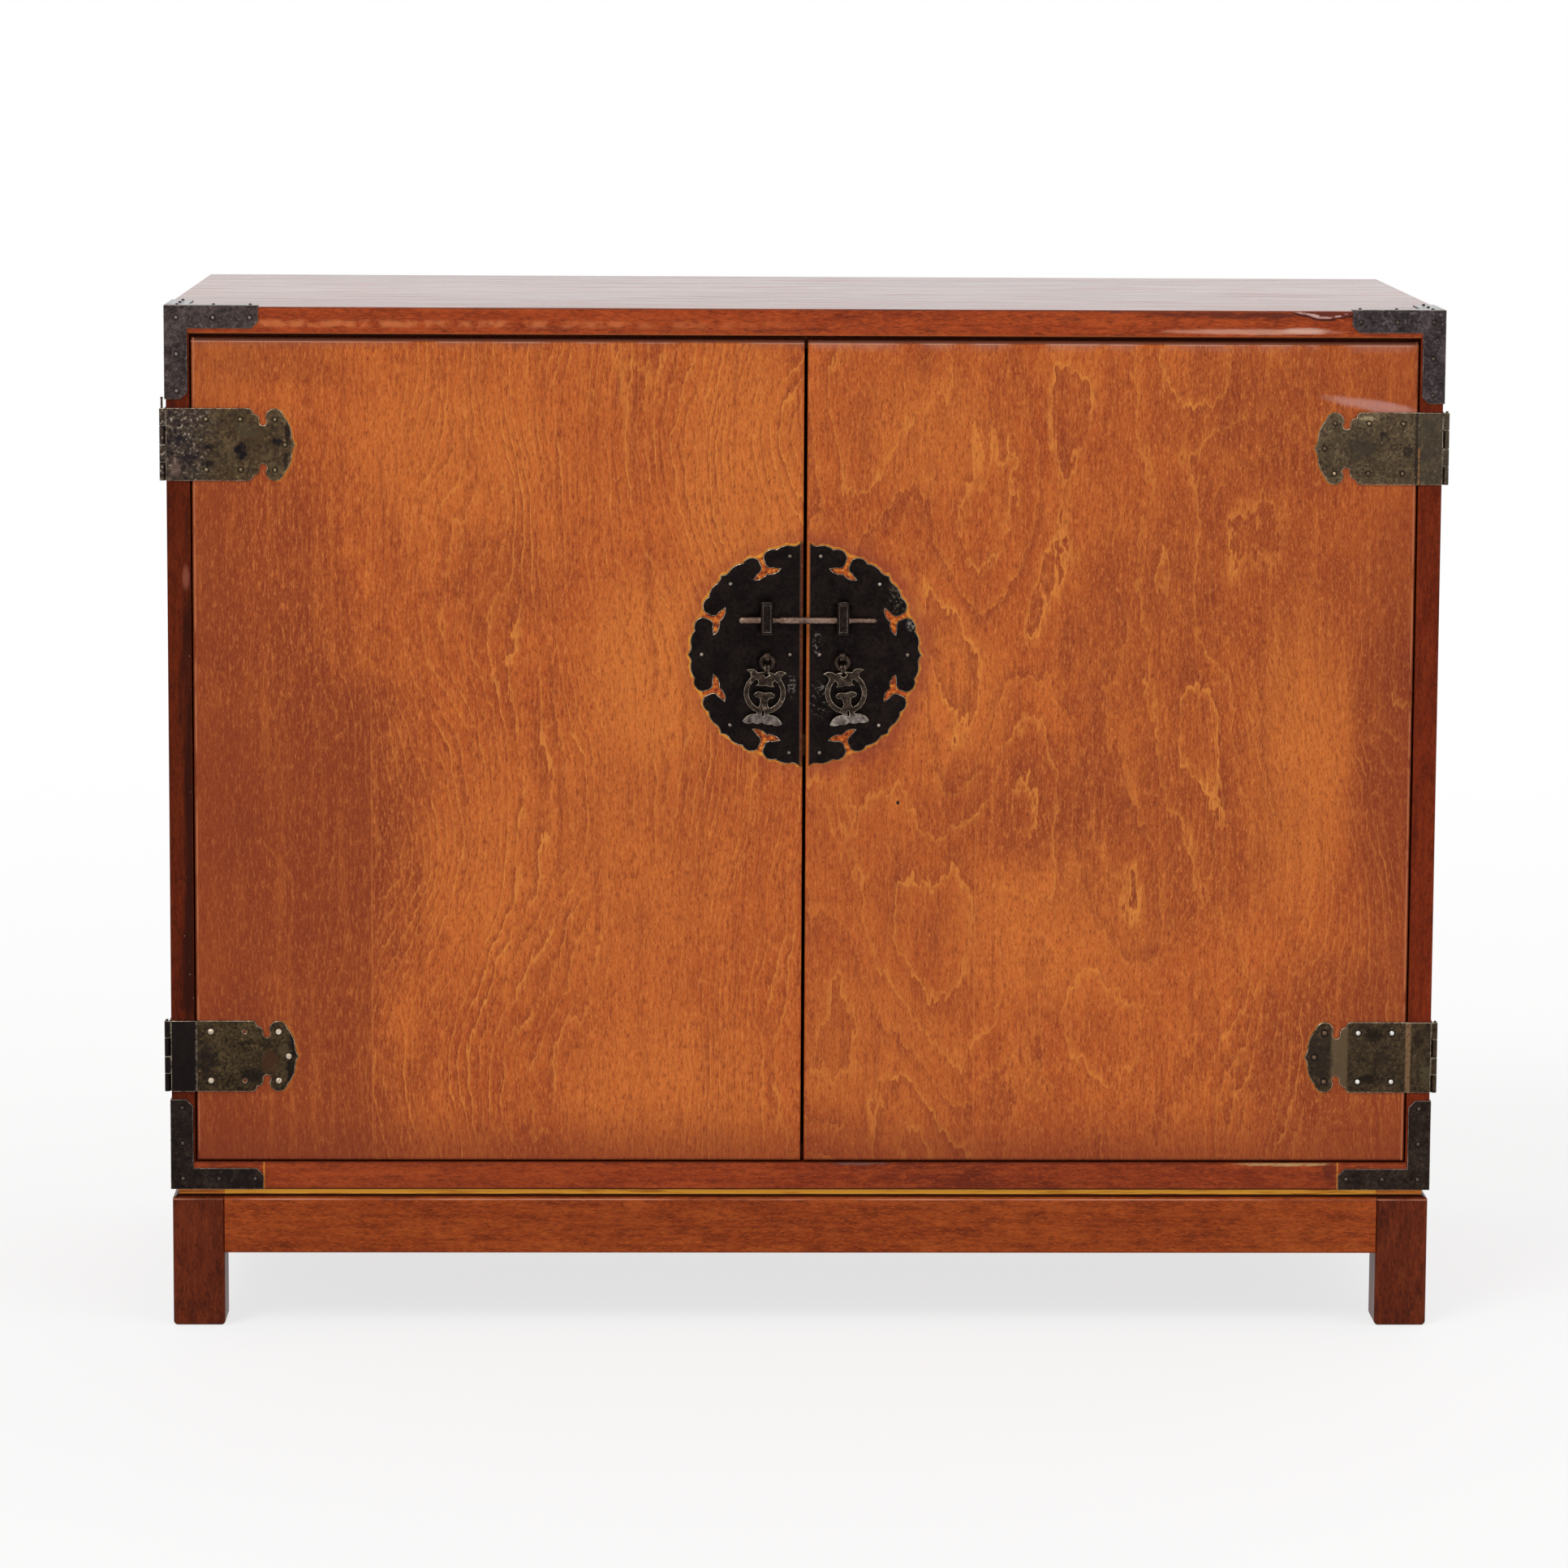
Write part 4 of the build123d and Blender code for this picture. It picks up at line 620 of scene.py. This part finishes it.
# Marks on a strap hinge, and one painted highlight on the upper right one: distance in from the case's
# outer edge and height above its middle, half width and height, screen colour, strength.
HINGE_MARKS = {
    ("upper", "left"): (
        ((0.065, -0.0055), (0.0065, 0.0095), (26, 23, 27), 0.95),
        ((0.038, -0.002), (0.006, 0.003), (30, 26, 28), 0.9),
        ((0.036, -0.017), (0.007, 0.004), (34, 28, 27), 0.85),
        ((0.096, 0.003), (0.006, 0.0045), (26, 23, 28), 0.9),
        ((0.106, 0.012), (0.003, 0.012), (34, 28, 26), 0.85),
        ((0.104, -0.012), (0.003, 0.01), (38, 31, 28), 0.8),
        ((0.012, 0.004), (0.007, 0.006), (34, 30, 36), 0.85),
        ((0.02, -0.012), (0.008, 0.005), (40, 33, 36), 0.8),
        ((0.07, 0.012), (0.012, 0.008), (86, 76, 56), 0.5),
        ((0.008, -0.02), (0.006, 0.011), (112, 88, 78), 0.55),
    ),
    ("upper", "right"): (
        ((0.071, 0.001), (0.018, 0.013), (58, 50, 42), 0.75),
        ((0.052, 0.012), (0.004, 0.003), (34, 29, 30), 0.85),
        # a pale painted highlight near the top of the strap
        ((0.066, 0.0265), (0.009, 0.0025), (170, 152, 118), 0.6),
        ((0.03, -0.002), (0.005, 0.008), (40, 34, 34), 0.7),
        ((0.011, 0.02), (0.008, 0.009), (62, 56, 46), 0.6),
        ((0.1, -0.006), (0.006, 0.014), (66, 54, 40), 0.6),
        ((0.092, 0.018), (0.005, 0.007), (60, 48, 38), 0.6),
    ),
    ("lower", "left"): (
        ((0.032, -0.004), (0.012, 0.02), (36, 29, 27), 0.8),
        ((0.07, -0.018), (0.014, 0.008), (30, 25, 23), 0.8),
        ((0.088, -0.004), (0.009, 0.015), (72, 46, 32), 0.8),
        ((0.109, 0.007), (0.006, 0.014), (26, 22, 22), 0.9),
        ((0.106, -0.012), (0.006, 0.012), (28, 24, 22), 0.9),
        ((0.1, 0.006), (0.006, 0.008), (92, 76, 54), 0.5),
    ),
    ("lower", "right"): (
        ((0.052, 0.02), (0.011, 0.008), (30, 24, 20), 0.85),
        ((0.056, -0.019), (0.012, 0.006), (32, 26, 21), 0.85),
        ((0.045, -0.001), (0.01, 0.009), (46, 36, 28), 0.7),
        ((0.011, 0.018), (0.006, 0.01), (38, 29, 24), 0.75),
        ((0.005, -0.014), (0.006, 0.012), (86, 76, 56), 0.6),
        ((0.1, 0.0), (0.014, 0.028), (44, 36, 31), 0.75),
    ),
}


def hinge_iron(level, side):
    """One strap hinge's own ageing."""
    tones = {
        ("upper", "left"): ((76, 59, 41), (34, 29, 30), (93, 76, 54), 0.3, 0.7),
        ("upper", "right"): ((82, 67, 50), (44, 36, 33), (102, 86, 64), 0.4, 0.85),
        ("lower", "left"): ((64, 51, 35), (24, 20, 19), (80, 65, 44), 0.6, 0.8),
        ("lower", "right"): ((60, 48, 35), (32, 25, 21), (75, 61, 44), 0.45, 0.75),
    }
    base, dark, warm, blotch, grain = tones[level, side]
    seed = 1.0 + 3 * LEVELS.index(level) + SIDES[side]
    g, colour = aged_iron(f"hinge_iron_{level}_{side}", base, dark, warm, seed=seed, blotch=blotch,
                          grain=grain)
    inward = g.minus(CASE_HALF, g.mul(g.x, float(SIDES[side])))
    rise = g.minus(g.z, HINGE_Z[level])
    rough_edge = g.noise((260,) * 3, seed, detail=3)
    ragged = g.mul(g.minus(rough_edge, 0.5), 2.4)
    rash = g.noise((330,) * 3, seed + 4, detail=3, rough=0.65)
    crease = STILE + 0.0015
    if (level, side) == ("upper", "left"):
        pitted = g.step(g.plus(inward, g.mul(ragged, 0.012)), 0.05, 0.02)
        colour = g.over(colour, (64, 54, 52), pitted, 0.6)
        colour = g.over(colour, (28, 25, 31), g.mul(pitted, g.step(rash, 0.5, 0.36)), 0.9)
        colour = g.over(colour, (164, 150, 136), g.mul(pitted, g.step(rash, 0.57, 0.67)), 0.85)
    elif (level, side) == ("upper", "right"):
        colour = g.over(colour, (70, 62, 52), g.step(inward, crease + 0.001, crease - 0.001), 0.6)
        colour = g.over(colour, (38, 32, 30), g.band(inward, crease + 0.001, 0.0007, 0.001), 0.8)
        rust = g.mul(g.band(inward, crease - 0.0012, 0.0002, 0.0005), g.step(rise, 0.004, -0.002))
        colour = g.over(colour, (176, 112, 58), g.mul(rust, g.step(rash, 0.4, 0.55)), 0.85)
        colour = g.over(colour, (158, 140, 112), g.step(rash, 0.64, 0.74), 0.55)
    elif (level, side) == ("lower", "left"):
        over_stile = g.step(g.plus(inward, g.mul(ragged, 0.001)), crease + 0.0015, crease)
        colour = g.over(colour, (27, 22, 22), over_stile, 0.95)
        fold = g.mul(g.band(inward, crease + 0.0004, 0.0005, 0.0007), g.step(rash, 0.4, 0.52))
        colour = g.over(colour, (112, 98, 84), fold, 0.85)
    else:
        uneven = g.plus(inward, g.mul(ragged, 0.0004))
        fold = g.mul(g.band(uneven, 0.0205, 0.0014, 0.0016), g.step(rash, 0.3, 0.5))
        colour = g.over(colour, (128, 98, 70), fold, 0.85)
        neck = g.band(g.plus(inward, g.mul(ragged, 0.001)), 0.0815, 0.0055, 0.0035)
        colour = g.over(colour, (100, 82, 60), neck, 0.8)
    for place, reach, tint, strength in HINGE_MARKS[level, side]:
        colour = g.over(colour, tint, g.spot(inward, rise, place, reach, ragged), strength)
    colour = nail_rings(g, colour, f"hinge_nails_{level}_{side}", NAIL_RING[level])
    g.colour(colour)
    return g.mat


def bracket_iron(level, side, base, dark, warm, seed):
    """A corner bracket, with a darker ring round its nails."""
    g, colour = aged_iron(f"bracket_iron_{level}_{side}", base, dark, warm, seed=seed, blotch=0.6)
    scuff = g.noise((210,) * 3, seed + 3, detail=4, rough=0.7)
    colour = g.over(colour, [v * 1.6 for v in warm], g.step(scuff, 0.56, 0.72), 0.6)

    def own(centre):
        same_side = (centre.x > 0) == (SIDES[side] > 0)
        same_level = (centre.z > 0.5) == (level == "upper")
        return same_side and same_level and centre.y < FRONT

    colour = nail_rings(g, colour, "bracket_nails", 0.0017, keep=own)
    g.colour(colour)
    return g.mat


def bracket_top_iron():
    """The brackets' upper faces, rubbed smooth like the top beside them."""
    g = Graph("bracket_top", rough=0.2, metal=IRON_METAL, specular=0.2)
    cloud = g.noise((9, 120, 9), 6.8, detail=3)
    g.colour(g.over(srgb(70, 60, 57), (46, 38, 36), g.step(cloud, 0.4, 0.66)))
    g.roughness(cloud, 0.12, 0.24)
    return g.mat


def lock_edge_iron():
    """The lock plate's rim: silvery where it is rubbed, brown beside the gap between the doors, and dimmed on
    the right plate as painted shade.
    """
    g, colour = aged_iron("lock_edge", (150, 136, 116), (40, 32, 29), (190, 176, 156), seed=5.0, rough=0.3,
                          blotch=0.9, fine=1.6)
    beside_gap = g.step(g.math("ABSOLUTE", g.x), LOCK_EDGE + 0.005, LOCK_EDGE + 0.002)
    colour = g.over(colour, (96, 62, 44), beside_gap, 0.9)
    # Painted shade dimming the right plate's rim.
    colour = g.over(colour, (64, 54, 50), g.step(g.x, 0.0, 0.001), 0.45)
    g.colour(colour)
    return g.mat


def lock_iron(side):
    """The lock plate: near-black, scuffed where the pulls swing."""
    s = SIDES[side]
    g, colour = aged_iron(f"lock_iron_{side}", (24, 18, 17), (15, 12, 13), (33, 25, 23), seed=7.0 + s)
    scuff = g.noise((300,) * 3, 8.0, detail=4, rough=0.7)
    hairs = g.noise((420, 420, 60), 5.0, detail=2)
    colour = g.over(colour, (64, 54, 46), g.step(scuff, 0.64, 0.74), 0.5)
    pivot = (s * (LOCK_EDGE + 0.029), LOCK_Z - 0.006)
    u = g.minus(g.x, pivot[0])
    v = g.minus(g.z, pivot[1])
    swing = g.math("SQRT", g.plus(g.mul(u, u), g.mul(v, v)))
    arc = g.step(g.math("FRACT", g.plus(g.mul(swing, 1 / 0.0062), g.mul(hairs, 1.3))), 0.22, 0.05)
    if side == "right":
        swept = g.spot(g.x, g.z, (0.014, LOCK_Z - 0.038), (0.012, 0.02))
        colour = g.over(colour, (120, 108, 100), g.mul(swept, arc, g.step(scuff, 0.44, 0.56)), 0.8)
        for place, reach in (((0.011, 0.008), (0.005, 0.016)), ((0.015, -0.031), (0.005, 0.008))):
            near = g.spot(g.x, g.z, (place[0], LOCK_Z + place[1]), reach)
            colour = g.over(colour, (120, 110, 104), g.mul(near, g.step(scuff, 0.52, 0.62)), 0.85)
        patch = g.spot(g.x, g.z, (0.083, LOCK_Z + 0.052), (0.013, 0.018))
        colour = g.over(colour, (86, 78, 66), g.mul(patch, g.step(scuff, 0.48, 0.6)), 0.8)
        catch = g.spot(g.x, g.z, (0.093, LOCK_Z + 0.027), (0.0045, 0.007))
        colour = g.over(colour, (128, 120, 112), g.mul(catch, g.step(scuff, 0.4, 0.55)), 0.85)
    else:
        near = g.spot(g.x, g.z, (-0.0115, LOCK_Z - 0.027), (0.005, 0.012))
        colour = g.over(colour, (112, 104, 98), g.mul(near, g.step(scuff, 0.5, 0.6)), 0.8)
    colour = nail_rings(g, colour, f"lock_nails_{side}", 0.0017, tint=(12, 10, 10), strength=0.5)
    g.colour(colour)
    return g.mat


def pull_iron():
    """The pulls: brown-black, bright where they are handled, with silvery tails that are partly rubbed metal
    and partly a painted highlight.
    """
    g, colour = aged_iron("pull_iron", (44, 35, 30), (17, 14, 13), (74, 60, 51), seed=8.0, rough=0.36,
                          fine=2.4)
    rub = g.noise((190,) * 3, 4.0, detail=4, rough=0.7)
    # The tails lightened: partly rubbed metal, partly a painted highlight where they face the light.
    tail = g.step(g.z, LOCK_Z - 0.0505, LOCK_Z - 0.0535)
    colour = g.over(colour, (124, 114, 110), g.mul(tail, g.step(rub, 0.3, 0.55)), 0.8)
    colour = g.over(colour, (176, 168, 164), g.mul(tail, g.step(rub, 0.56, 0.66)), 0.7)
    colour = g.over(colour, (146, 128, 110), g.step(rub, 0.58, 0.68), 0.6)
    g.colour(colour)
    return g.mat


def nail_iron(level, side, base, dark, warm):
    """A hinge's nail heads; on the lower right hinge those furthest in from the case's edge are brown."""
    seed = 9.0 + LEVELS.index(level) + 0.3 * SIDES[side]
    g, colour = aged_iron(f"nail_{level}_{side}", base, dark, warm, seed=seed, rough=0.36, pits=0.5)
    if (level, side) == ("lower", "right"):
        colour = g.over(colour, (92, 66, 48), g.step(g.x, CASE_HALF - 0.086, CASE_HALF - 0.09), 0.95)
    g.colour(colour)
    return g.mat


def small_nail_iron():
    """The brackets' nail heads, brighter on the upper left bracket."""
    g, colour = aged_iron("bracket_nail_iron", (76, 65, 58), (36, 29, 26), (112, 98, 87), seed=9.5,
                          rough=0.36, fine=2.4)
    upper_left = g.mul(g.step(g.z, 0.5, 0.51), g.step(g.x, 0.01, 0.0))
    colour = g.over(colour, (140, 127, 119), upper_left, 0.6)
    colour = g.over(colour, (24, 18, 16), g.step(g.z, CASE_TOP - 0.0002, CASE_TOP + 0.0002), 0.9)
    g.colour(colour)
    return g.mat


# ---- dressing the frame's own nodes ------------------------------------------------------------------
def dress(name, mat):
    """Gives a CAD node its material."""
    data = nodes[name].data
    data.materials.clear()
    data.materials.append(mat)


def worked(name, *materials, edge=None, width=0.0, segments=2, pick=None, pierced=False):
    """Stands in for a CAD node with the same shape: its edges eased, and its materials laid by face."""
    mesh = nodes[name].data.copy()
    bm = bmesh.new()
    bm.from_mesh(mesh)
    bmesh.ops.remove_doubles(bm, verts=bm.verts, dist=WELD_WITHIN)
    if not pierced:
        bmesh.ops.dissolve_limit(bm, angle_limit=FLAT_WITHIN, verts=bm.verts, edges=bm.edges)
    bm.to_mesh(mesh)
    bm.free()
    piece = bpy.data.objects.new(name + "_worked", mesh)
    bpy.context.collection.objects.link(piece)
    mesh.materials.clear()
    for mat in materials:
        mesh.materials.append(mat)
    for poly in mesh.polygons:
        poly.material_index = pick(poly) if pick else 0
    if width:
        bevel = piece.modifiers.new("bevel", "BEVEL")
        bevel.width = width
        bevel.segments = segments
        bevel.limit_method = "ANGLE"
        bevel.angle_limit = EASED_FROM
        bevel.use_clamp_overlap = False
        if edge:
            mesh.materials.append(edge)
            bevel.material = len(materials)
        apply_modifiers(piece)
    for poly in piece.data.polygons:
        poly.use_smooth = True
    piece.data.set_sharp_from_angle(angle=WORKED_SHARP)
    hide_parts(name)
    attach(piece, BODY_OF[name])


def apply_modifiers(obj):
    """Makes what an object's modifiers do part of its mesh."""
    graph = bpy.context.evaluated_depsgraph_get()
    mesh = bpy.data.meshes.new_from_object(obj.evaluated_get(graph))
    obj.modifiers.clear()
    old = obj.data
    obj.data = mesh
    bpy.data.meshes.remove(old)


def faces_up(poly):
    """The second material on upward faces."""
    return 1 if poly.normal.z > 0.5 else 0


def faces_front(poly):
    """The second material on faces turned to the front."""
    return 1 if poly.normal.y < -0.5 else 0


worked("top_panel", top_rail_wood(), top_wood(), pick=faces_up)
worked("bottom_panel", case_wood("case_bottom", "x", 3.0), bottom_rail_wood(), pick=faces_front)
for side in SIDES:
    flank = case_wood(f"case_{side}", "z", 4.0 + SIDES[side])
    worked(f"side_panel_{side}", flank, stile_wood(side), pick=faces_front)
    dress(f"door_{side}", door_wood(side))

inner_x = inner_wood("inner_x", "x", 1.0)
inner_z = inner_wood("inner_z", "z", 2.0)
stop_wood = case_wood("stop_wood", "x", 7.0)
for name, mat in (("back_panel", inner_z), ("shelf", inner_x), ("corner_blocks", inner_x),
                  ("door_stop_top", stop_wood), ("door_stop_bottom", stop_wood)):
    dress(name, mat)

APRON = {"dark": (100, 37, 15), "base": (142, 59, 22), "light": (170, 82, 33),
         "gold": (246, 176, 62), "gold_dark": (190, 112, 34)}
LEG = {"dark": (60, 21, 10), "base": (96, 36, 15), "light": (116, 50, 23),
       "gold": (214, 128, 50), "gold_dark": (140, 74, 30)}
for end, seed in (("front", 2.0), ("back", 8.0)):
    dress(f"apron_{end}", stand_wood(f"apron_wood_{end}", "x", seed, **APRON))
    for side in SIDES:
        dress(f"leg_{end}_{side}", stand_wood(f"leg_wood_{end}_{side}", "z", seed + 1 + SIDES[side], **LEG))
for side in SIDES:
    dress(f"apron_{side}", stand_wood(f"apron_wood_{side}", "y", 5.0 + SIDES[side], **APRON))

worn_edge = plain_iron("worn_edge", (150, 136, 116), (44, 36, 32), (186, 172, 150), seed=5.0, rough=0.3,
                       blotch=0.85, fine=1.6)
dull_edge = plain_iron("dull_edge", (96, 86, 80), (40, 33, 30), (132, 120, 112), seed=5.5, rough=0.36,
                       blotch=0.6)
bracket_top = bracket_top_iron()
lock_edge = lock_edge_iron()
BRACKET_TONES = {
    ("upper", "left"): ((66, 56, 54), (36, 30, 30), (84, 73, 71)),
    ("upper", "right"): ((58, 50, 50), (28, 23, 24), (82, 72, 73)),
    ("lower", "left"): ((36, 28, 25), (22, 18, 17), (48, 38, 33)),
    ("lower", "right"): ((42, 32, 27), (24, 19, 17), (56, 45, 38)),
}
NAIL_TONES = {
    ("upper", "left"): ((130, 112, 80), (60, 50, 37), (186, 170, 136)),
    ("upper", "right"): ((112, 90, 68), (54, 43, 33), (172, 150, 122)),
    ("lower", "left"): ((196, 178, 156), (120, 104, 86), (222, 208, 186)),
    ("lower", "right"): ((214, 208, 200), (150, 140, 128), (232, 228, 222)),
}
pull_mat = pull_iron()
keeper_mat = plain_iron("keeper_iron", (30, 23, 20), (18, 14, 13), (44, 34, 29), seed=8.2, fine=2.0)
bolt_mat = plain_iron("bolt_iron", (112, 88, 76), (58, 44, 38), (146, 122, 108), seed=8.5, rough=0.32,
                      fine=2.0, grain=0.3)
barrel_mat = plain_iron("barrel_iron", (66, 48, 42), (30, 22, 20), (92, 70, 60), seed=8.7, fine=2.0)
bracket_nail_mat = small_nail_iron()
nail_dull = plain_iron("nail_dull", (96, 84, 76), (46, 38, 34), (130, 116, 104), seed=9.5, rough=0.36)
nail_lock = plain_iron("nail_lock", (130, 114, 104), (56, 46, 42), (170, 154, 142), seed=9.6, rough=0.32)
steel_mat = plain_iron("plain_steel", (120, 116, 108), (80, 76, 70), (140, 136, 126), seed=10.0, pits=0.4)

for index, (level, side) in enumerate(CORNERS):
    hinge_mat = hinge_iron(level, side)
    worked(f"hinge_strap_{level}_{side}", hinge_mat, edge=worn_edge, width=SHEET_EASE)
    dress(f"hinge_nails_{level}_{side}", nail_iron(level, side, *NAIL_TONES[level, side]))
    dress(f"hinge_leaf_{level}_{side}", hinge_mat)
    dress(f"hinge_pin_{level}_{side}", barrel_mat)
    bracket_mat = bracket_iron(level, side, *BRACKET_TONES[level, side], seed=6.0 + 0.2 * index)
    worked(f"corner_bracket_{level}_{side}", bracket_mat, bracket_top, edge=dull_edge, width=SHEET_EASE,
           pick=faces_up)
for side in SIDES:
    worked(f"lock_plate_{side}", lock_iron(side), edge=lock_edge, width=PLATE_EASE)
    dress(f"lock_nails_{side}", nail_lock)
    worked(f"bolt_keeper_{side}", keeper_mat, edge=dull_edge, width=KEEPER_EASE)
    worked(f"pull_eye_{side}", pull_mat, width=PULL_EASE)
    dress(f"pull_link_{side}", pull_mat)
    worked(f"pull_pendant_{side}", pull_mat, edge=worn_edge, width=PULL_EASE, segments=3, pierced=True)
for name, mat in (("bolt_pin", bolt_mat), ("bracket_nails", bracket_nail_mat),
                  ("hinge_leaf_nails", nail_dull), ("back_nails", steel_mat),
                  ("shelf_pins", steel_mat), ("stand_screws", steel_mat)):
    dress(name, mat)

# ---- floor, light and camera -------------------------------------------------------------------------
FLOOR_SIZE = 400.0
AMBIENT = 0.62           # how bright the surroundings are for matt surfaces
SURROUND = 1.0           # how bright they look to the camera and in gloss
PAPER_SHARE = 0.74       # how much of that the floor shows near the object, over its own light and shade


def looked_at(tree):
    """1 on rays from the camera, in gloss and through glass, and 0 on matt light."""
    path = tree.nodes.new("ShaderNodeLightPath")
    seen = path.outputs["Is Camera Ray"]
    for kind in ("Is Glossy Ray", "Is Transmission Ray"):
        either = tree.nodes.new("ShaderNodeMath")
        either.operation = "MAXIMUM"
        tree.links.new(seen, either.inputs[0])
        tree.links.new(path.outputs[kind], either.inputs[1])
        seen = either.outputs[0]
    return seen


bpy.ops.mesh.primitive_plane_add(size=FLOOR_SIZE, location=(0, 0, 0))
floor = bpy.context.object
floor.name = "floor"
paper = Graph("floor_paper", rough=0.9, specular=0.05)
cast = paper.noise((3, 3, 3))
paper.colour(paper.over(srgb(246, 246, 246), (248, 248, 247), cast))
away = paper.math("SQRT", paper.plus(paper.mul(paper.x, paper.x), paper.mul(paper.y, paper.y)))
share = paper.plus(paper.mul(paper.step(away, 0.9, 4.0), 1.0 - PAPER_SHARE), PAPER_SHARE)
white = paper.add("ShaderNodeEmission")
white.inputs["Strength"].default_value = SURROUND
laid = paper.add("ShaderNodeMixShader")
paper.feed(laid.inputs[0], paper.mul(share, looked_at(paper.tree)))
paper.tree.links.new(paper.bsdf.outputs[0], laid.inputs[1])
paper.tree.links.new(white.outputs[0], laid.inputs[2])
paper.tree.links.new(laid.outputs[0], paper.tree.nodes["Material Output"].inputs["Surface"])
floor.data.materials.append(paper.mat)

world = bpy.data.worlds.new("studio")
bpy.context.scene.world = world
world.use_nodes = True
tree = world.node_tree
back = tree.nodes["Background"]
back.inputs["Color"].default_value = (1, 1, 1, 1)
level_of_light = tree.nodes.new("ShaderNodeMapRange")
level_of_light.inputs["To Min"].default_value = AMBIENT
level_of_light.inputs["To Max"].default_value = SURROUND
tree.links.new(looked_at(tree), level_of_light.inputs["Value"])
tree.links.new(level_of_light.outputs[0], back.inputs["Strength"])


def sun(name, come_from, power, spread):
    """A broad, distant lamp; spread is its angle across, in degrees."""
    data = bpy.data.lights.new(name, "SUN")
    data.energy = power
    data.angle = math.radians(spread)
    obj = bpy.data.objects.new(name, data)
    bpy.context.collection.objects.link(obj)
    obj.rotation_euler = Vector(come_from).to_track_quat("Z", "Y").to_euler()


sun("key", (-0.55, -0.75, 0.95), 0.85, 22)
sun("fill", (0.9, -0.6, 0.7), 0.35, 45)
sun("back", (0.2, 0.8, 1.0), 0.3, 40)

# A camera fitted to the photograph; its sensor is a nominal one.
SENSOR_WIDTH = 36.0      # millimetres
FOCAL_PIXELS = 7141
FRAME_PIXELS = 1932
CAMERA_X = -0.114
CAMERA_AWAY = 5.06       # metres in front of the case
CAMERA_Z = 1.216
yaw = math.radians(1.317)
pitch = math.radians(7.403)
roll = math.radians(0.321)
forward = Vector((math.sin(yaw), math.cos(yaw), 0))
right = Vector((math.cos(yaw), -math.sin(yaw), 0))
up = Vector((0, 0, 1))
look = math.cos(pitch) * forward - math.sin(pitch) * up
above = math.sin(pitch) * forward + math.cos(pitch) * up
cam_x = math.cos(roll) * right + math.sin(roll) * above
cam_y = math.cos(roll) * above - math.sin(roll) * right
cam = bpy.data.objects.new("camera", bpy.data.cameras.new("camera"))
bpy.context.collection.objects.link(cam)
turn = Matrix((cam_x, cam_y, -look)).transposed().to_4x4()
cam.matrix_world = Matrix.Translation((CAMERA_X, FRONT - CAMERA_AWAY, CAMERA_Z)) @ turn
cam.data.sensor_width = SENSOR_WIDTH
cam.data.lens = FOCAL_PIXELS / FRAME_PIXELS * SENSOR_WIDTH
cam.data.shift_x = -0.0147
cam.data.shift_y = -0.05
bpy.context.scene.camera = cam
bpy.context.scene.view_settings.view_transform = "Standard"

for obj in nodes.values():
    for poly in obj.data.polygons:
        poly.use_smooth = True
    obj.data.set_sharp_from_angle(angle=DRESSED_SHARP)
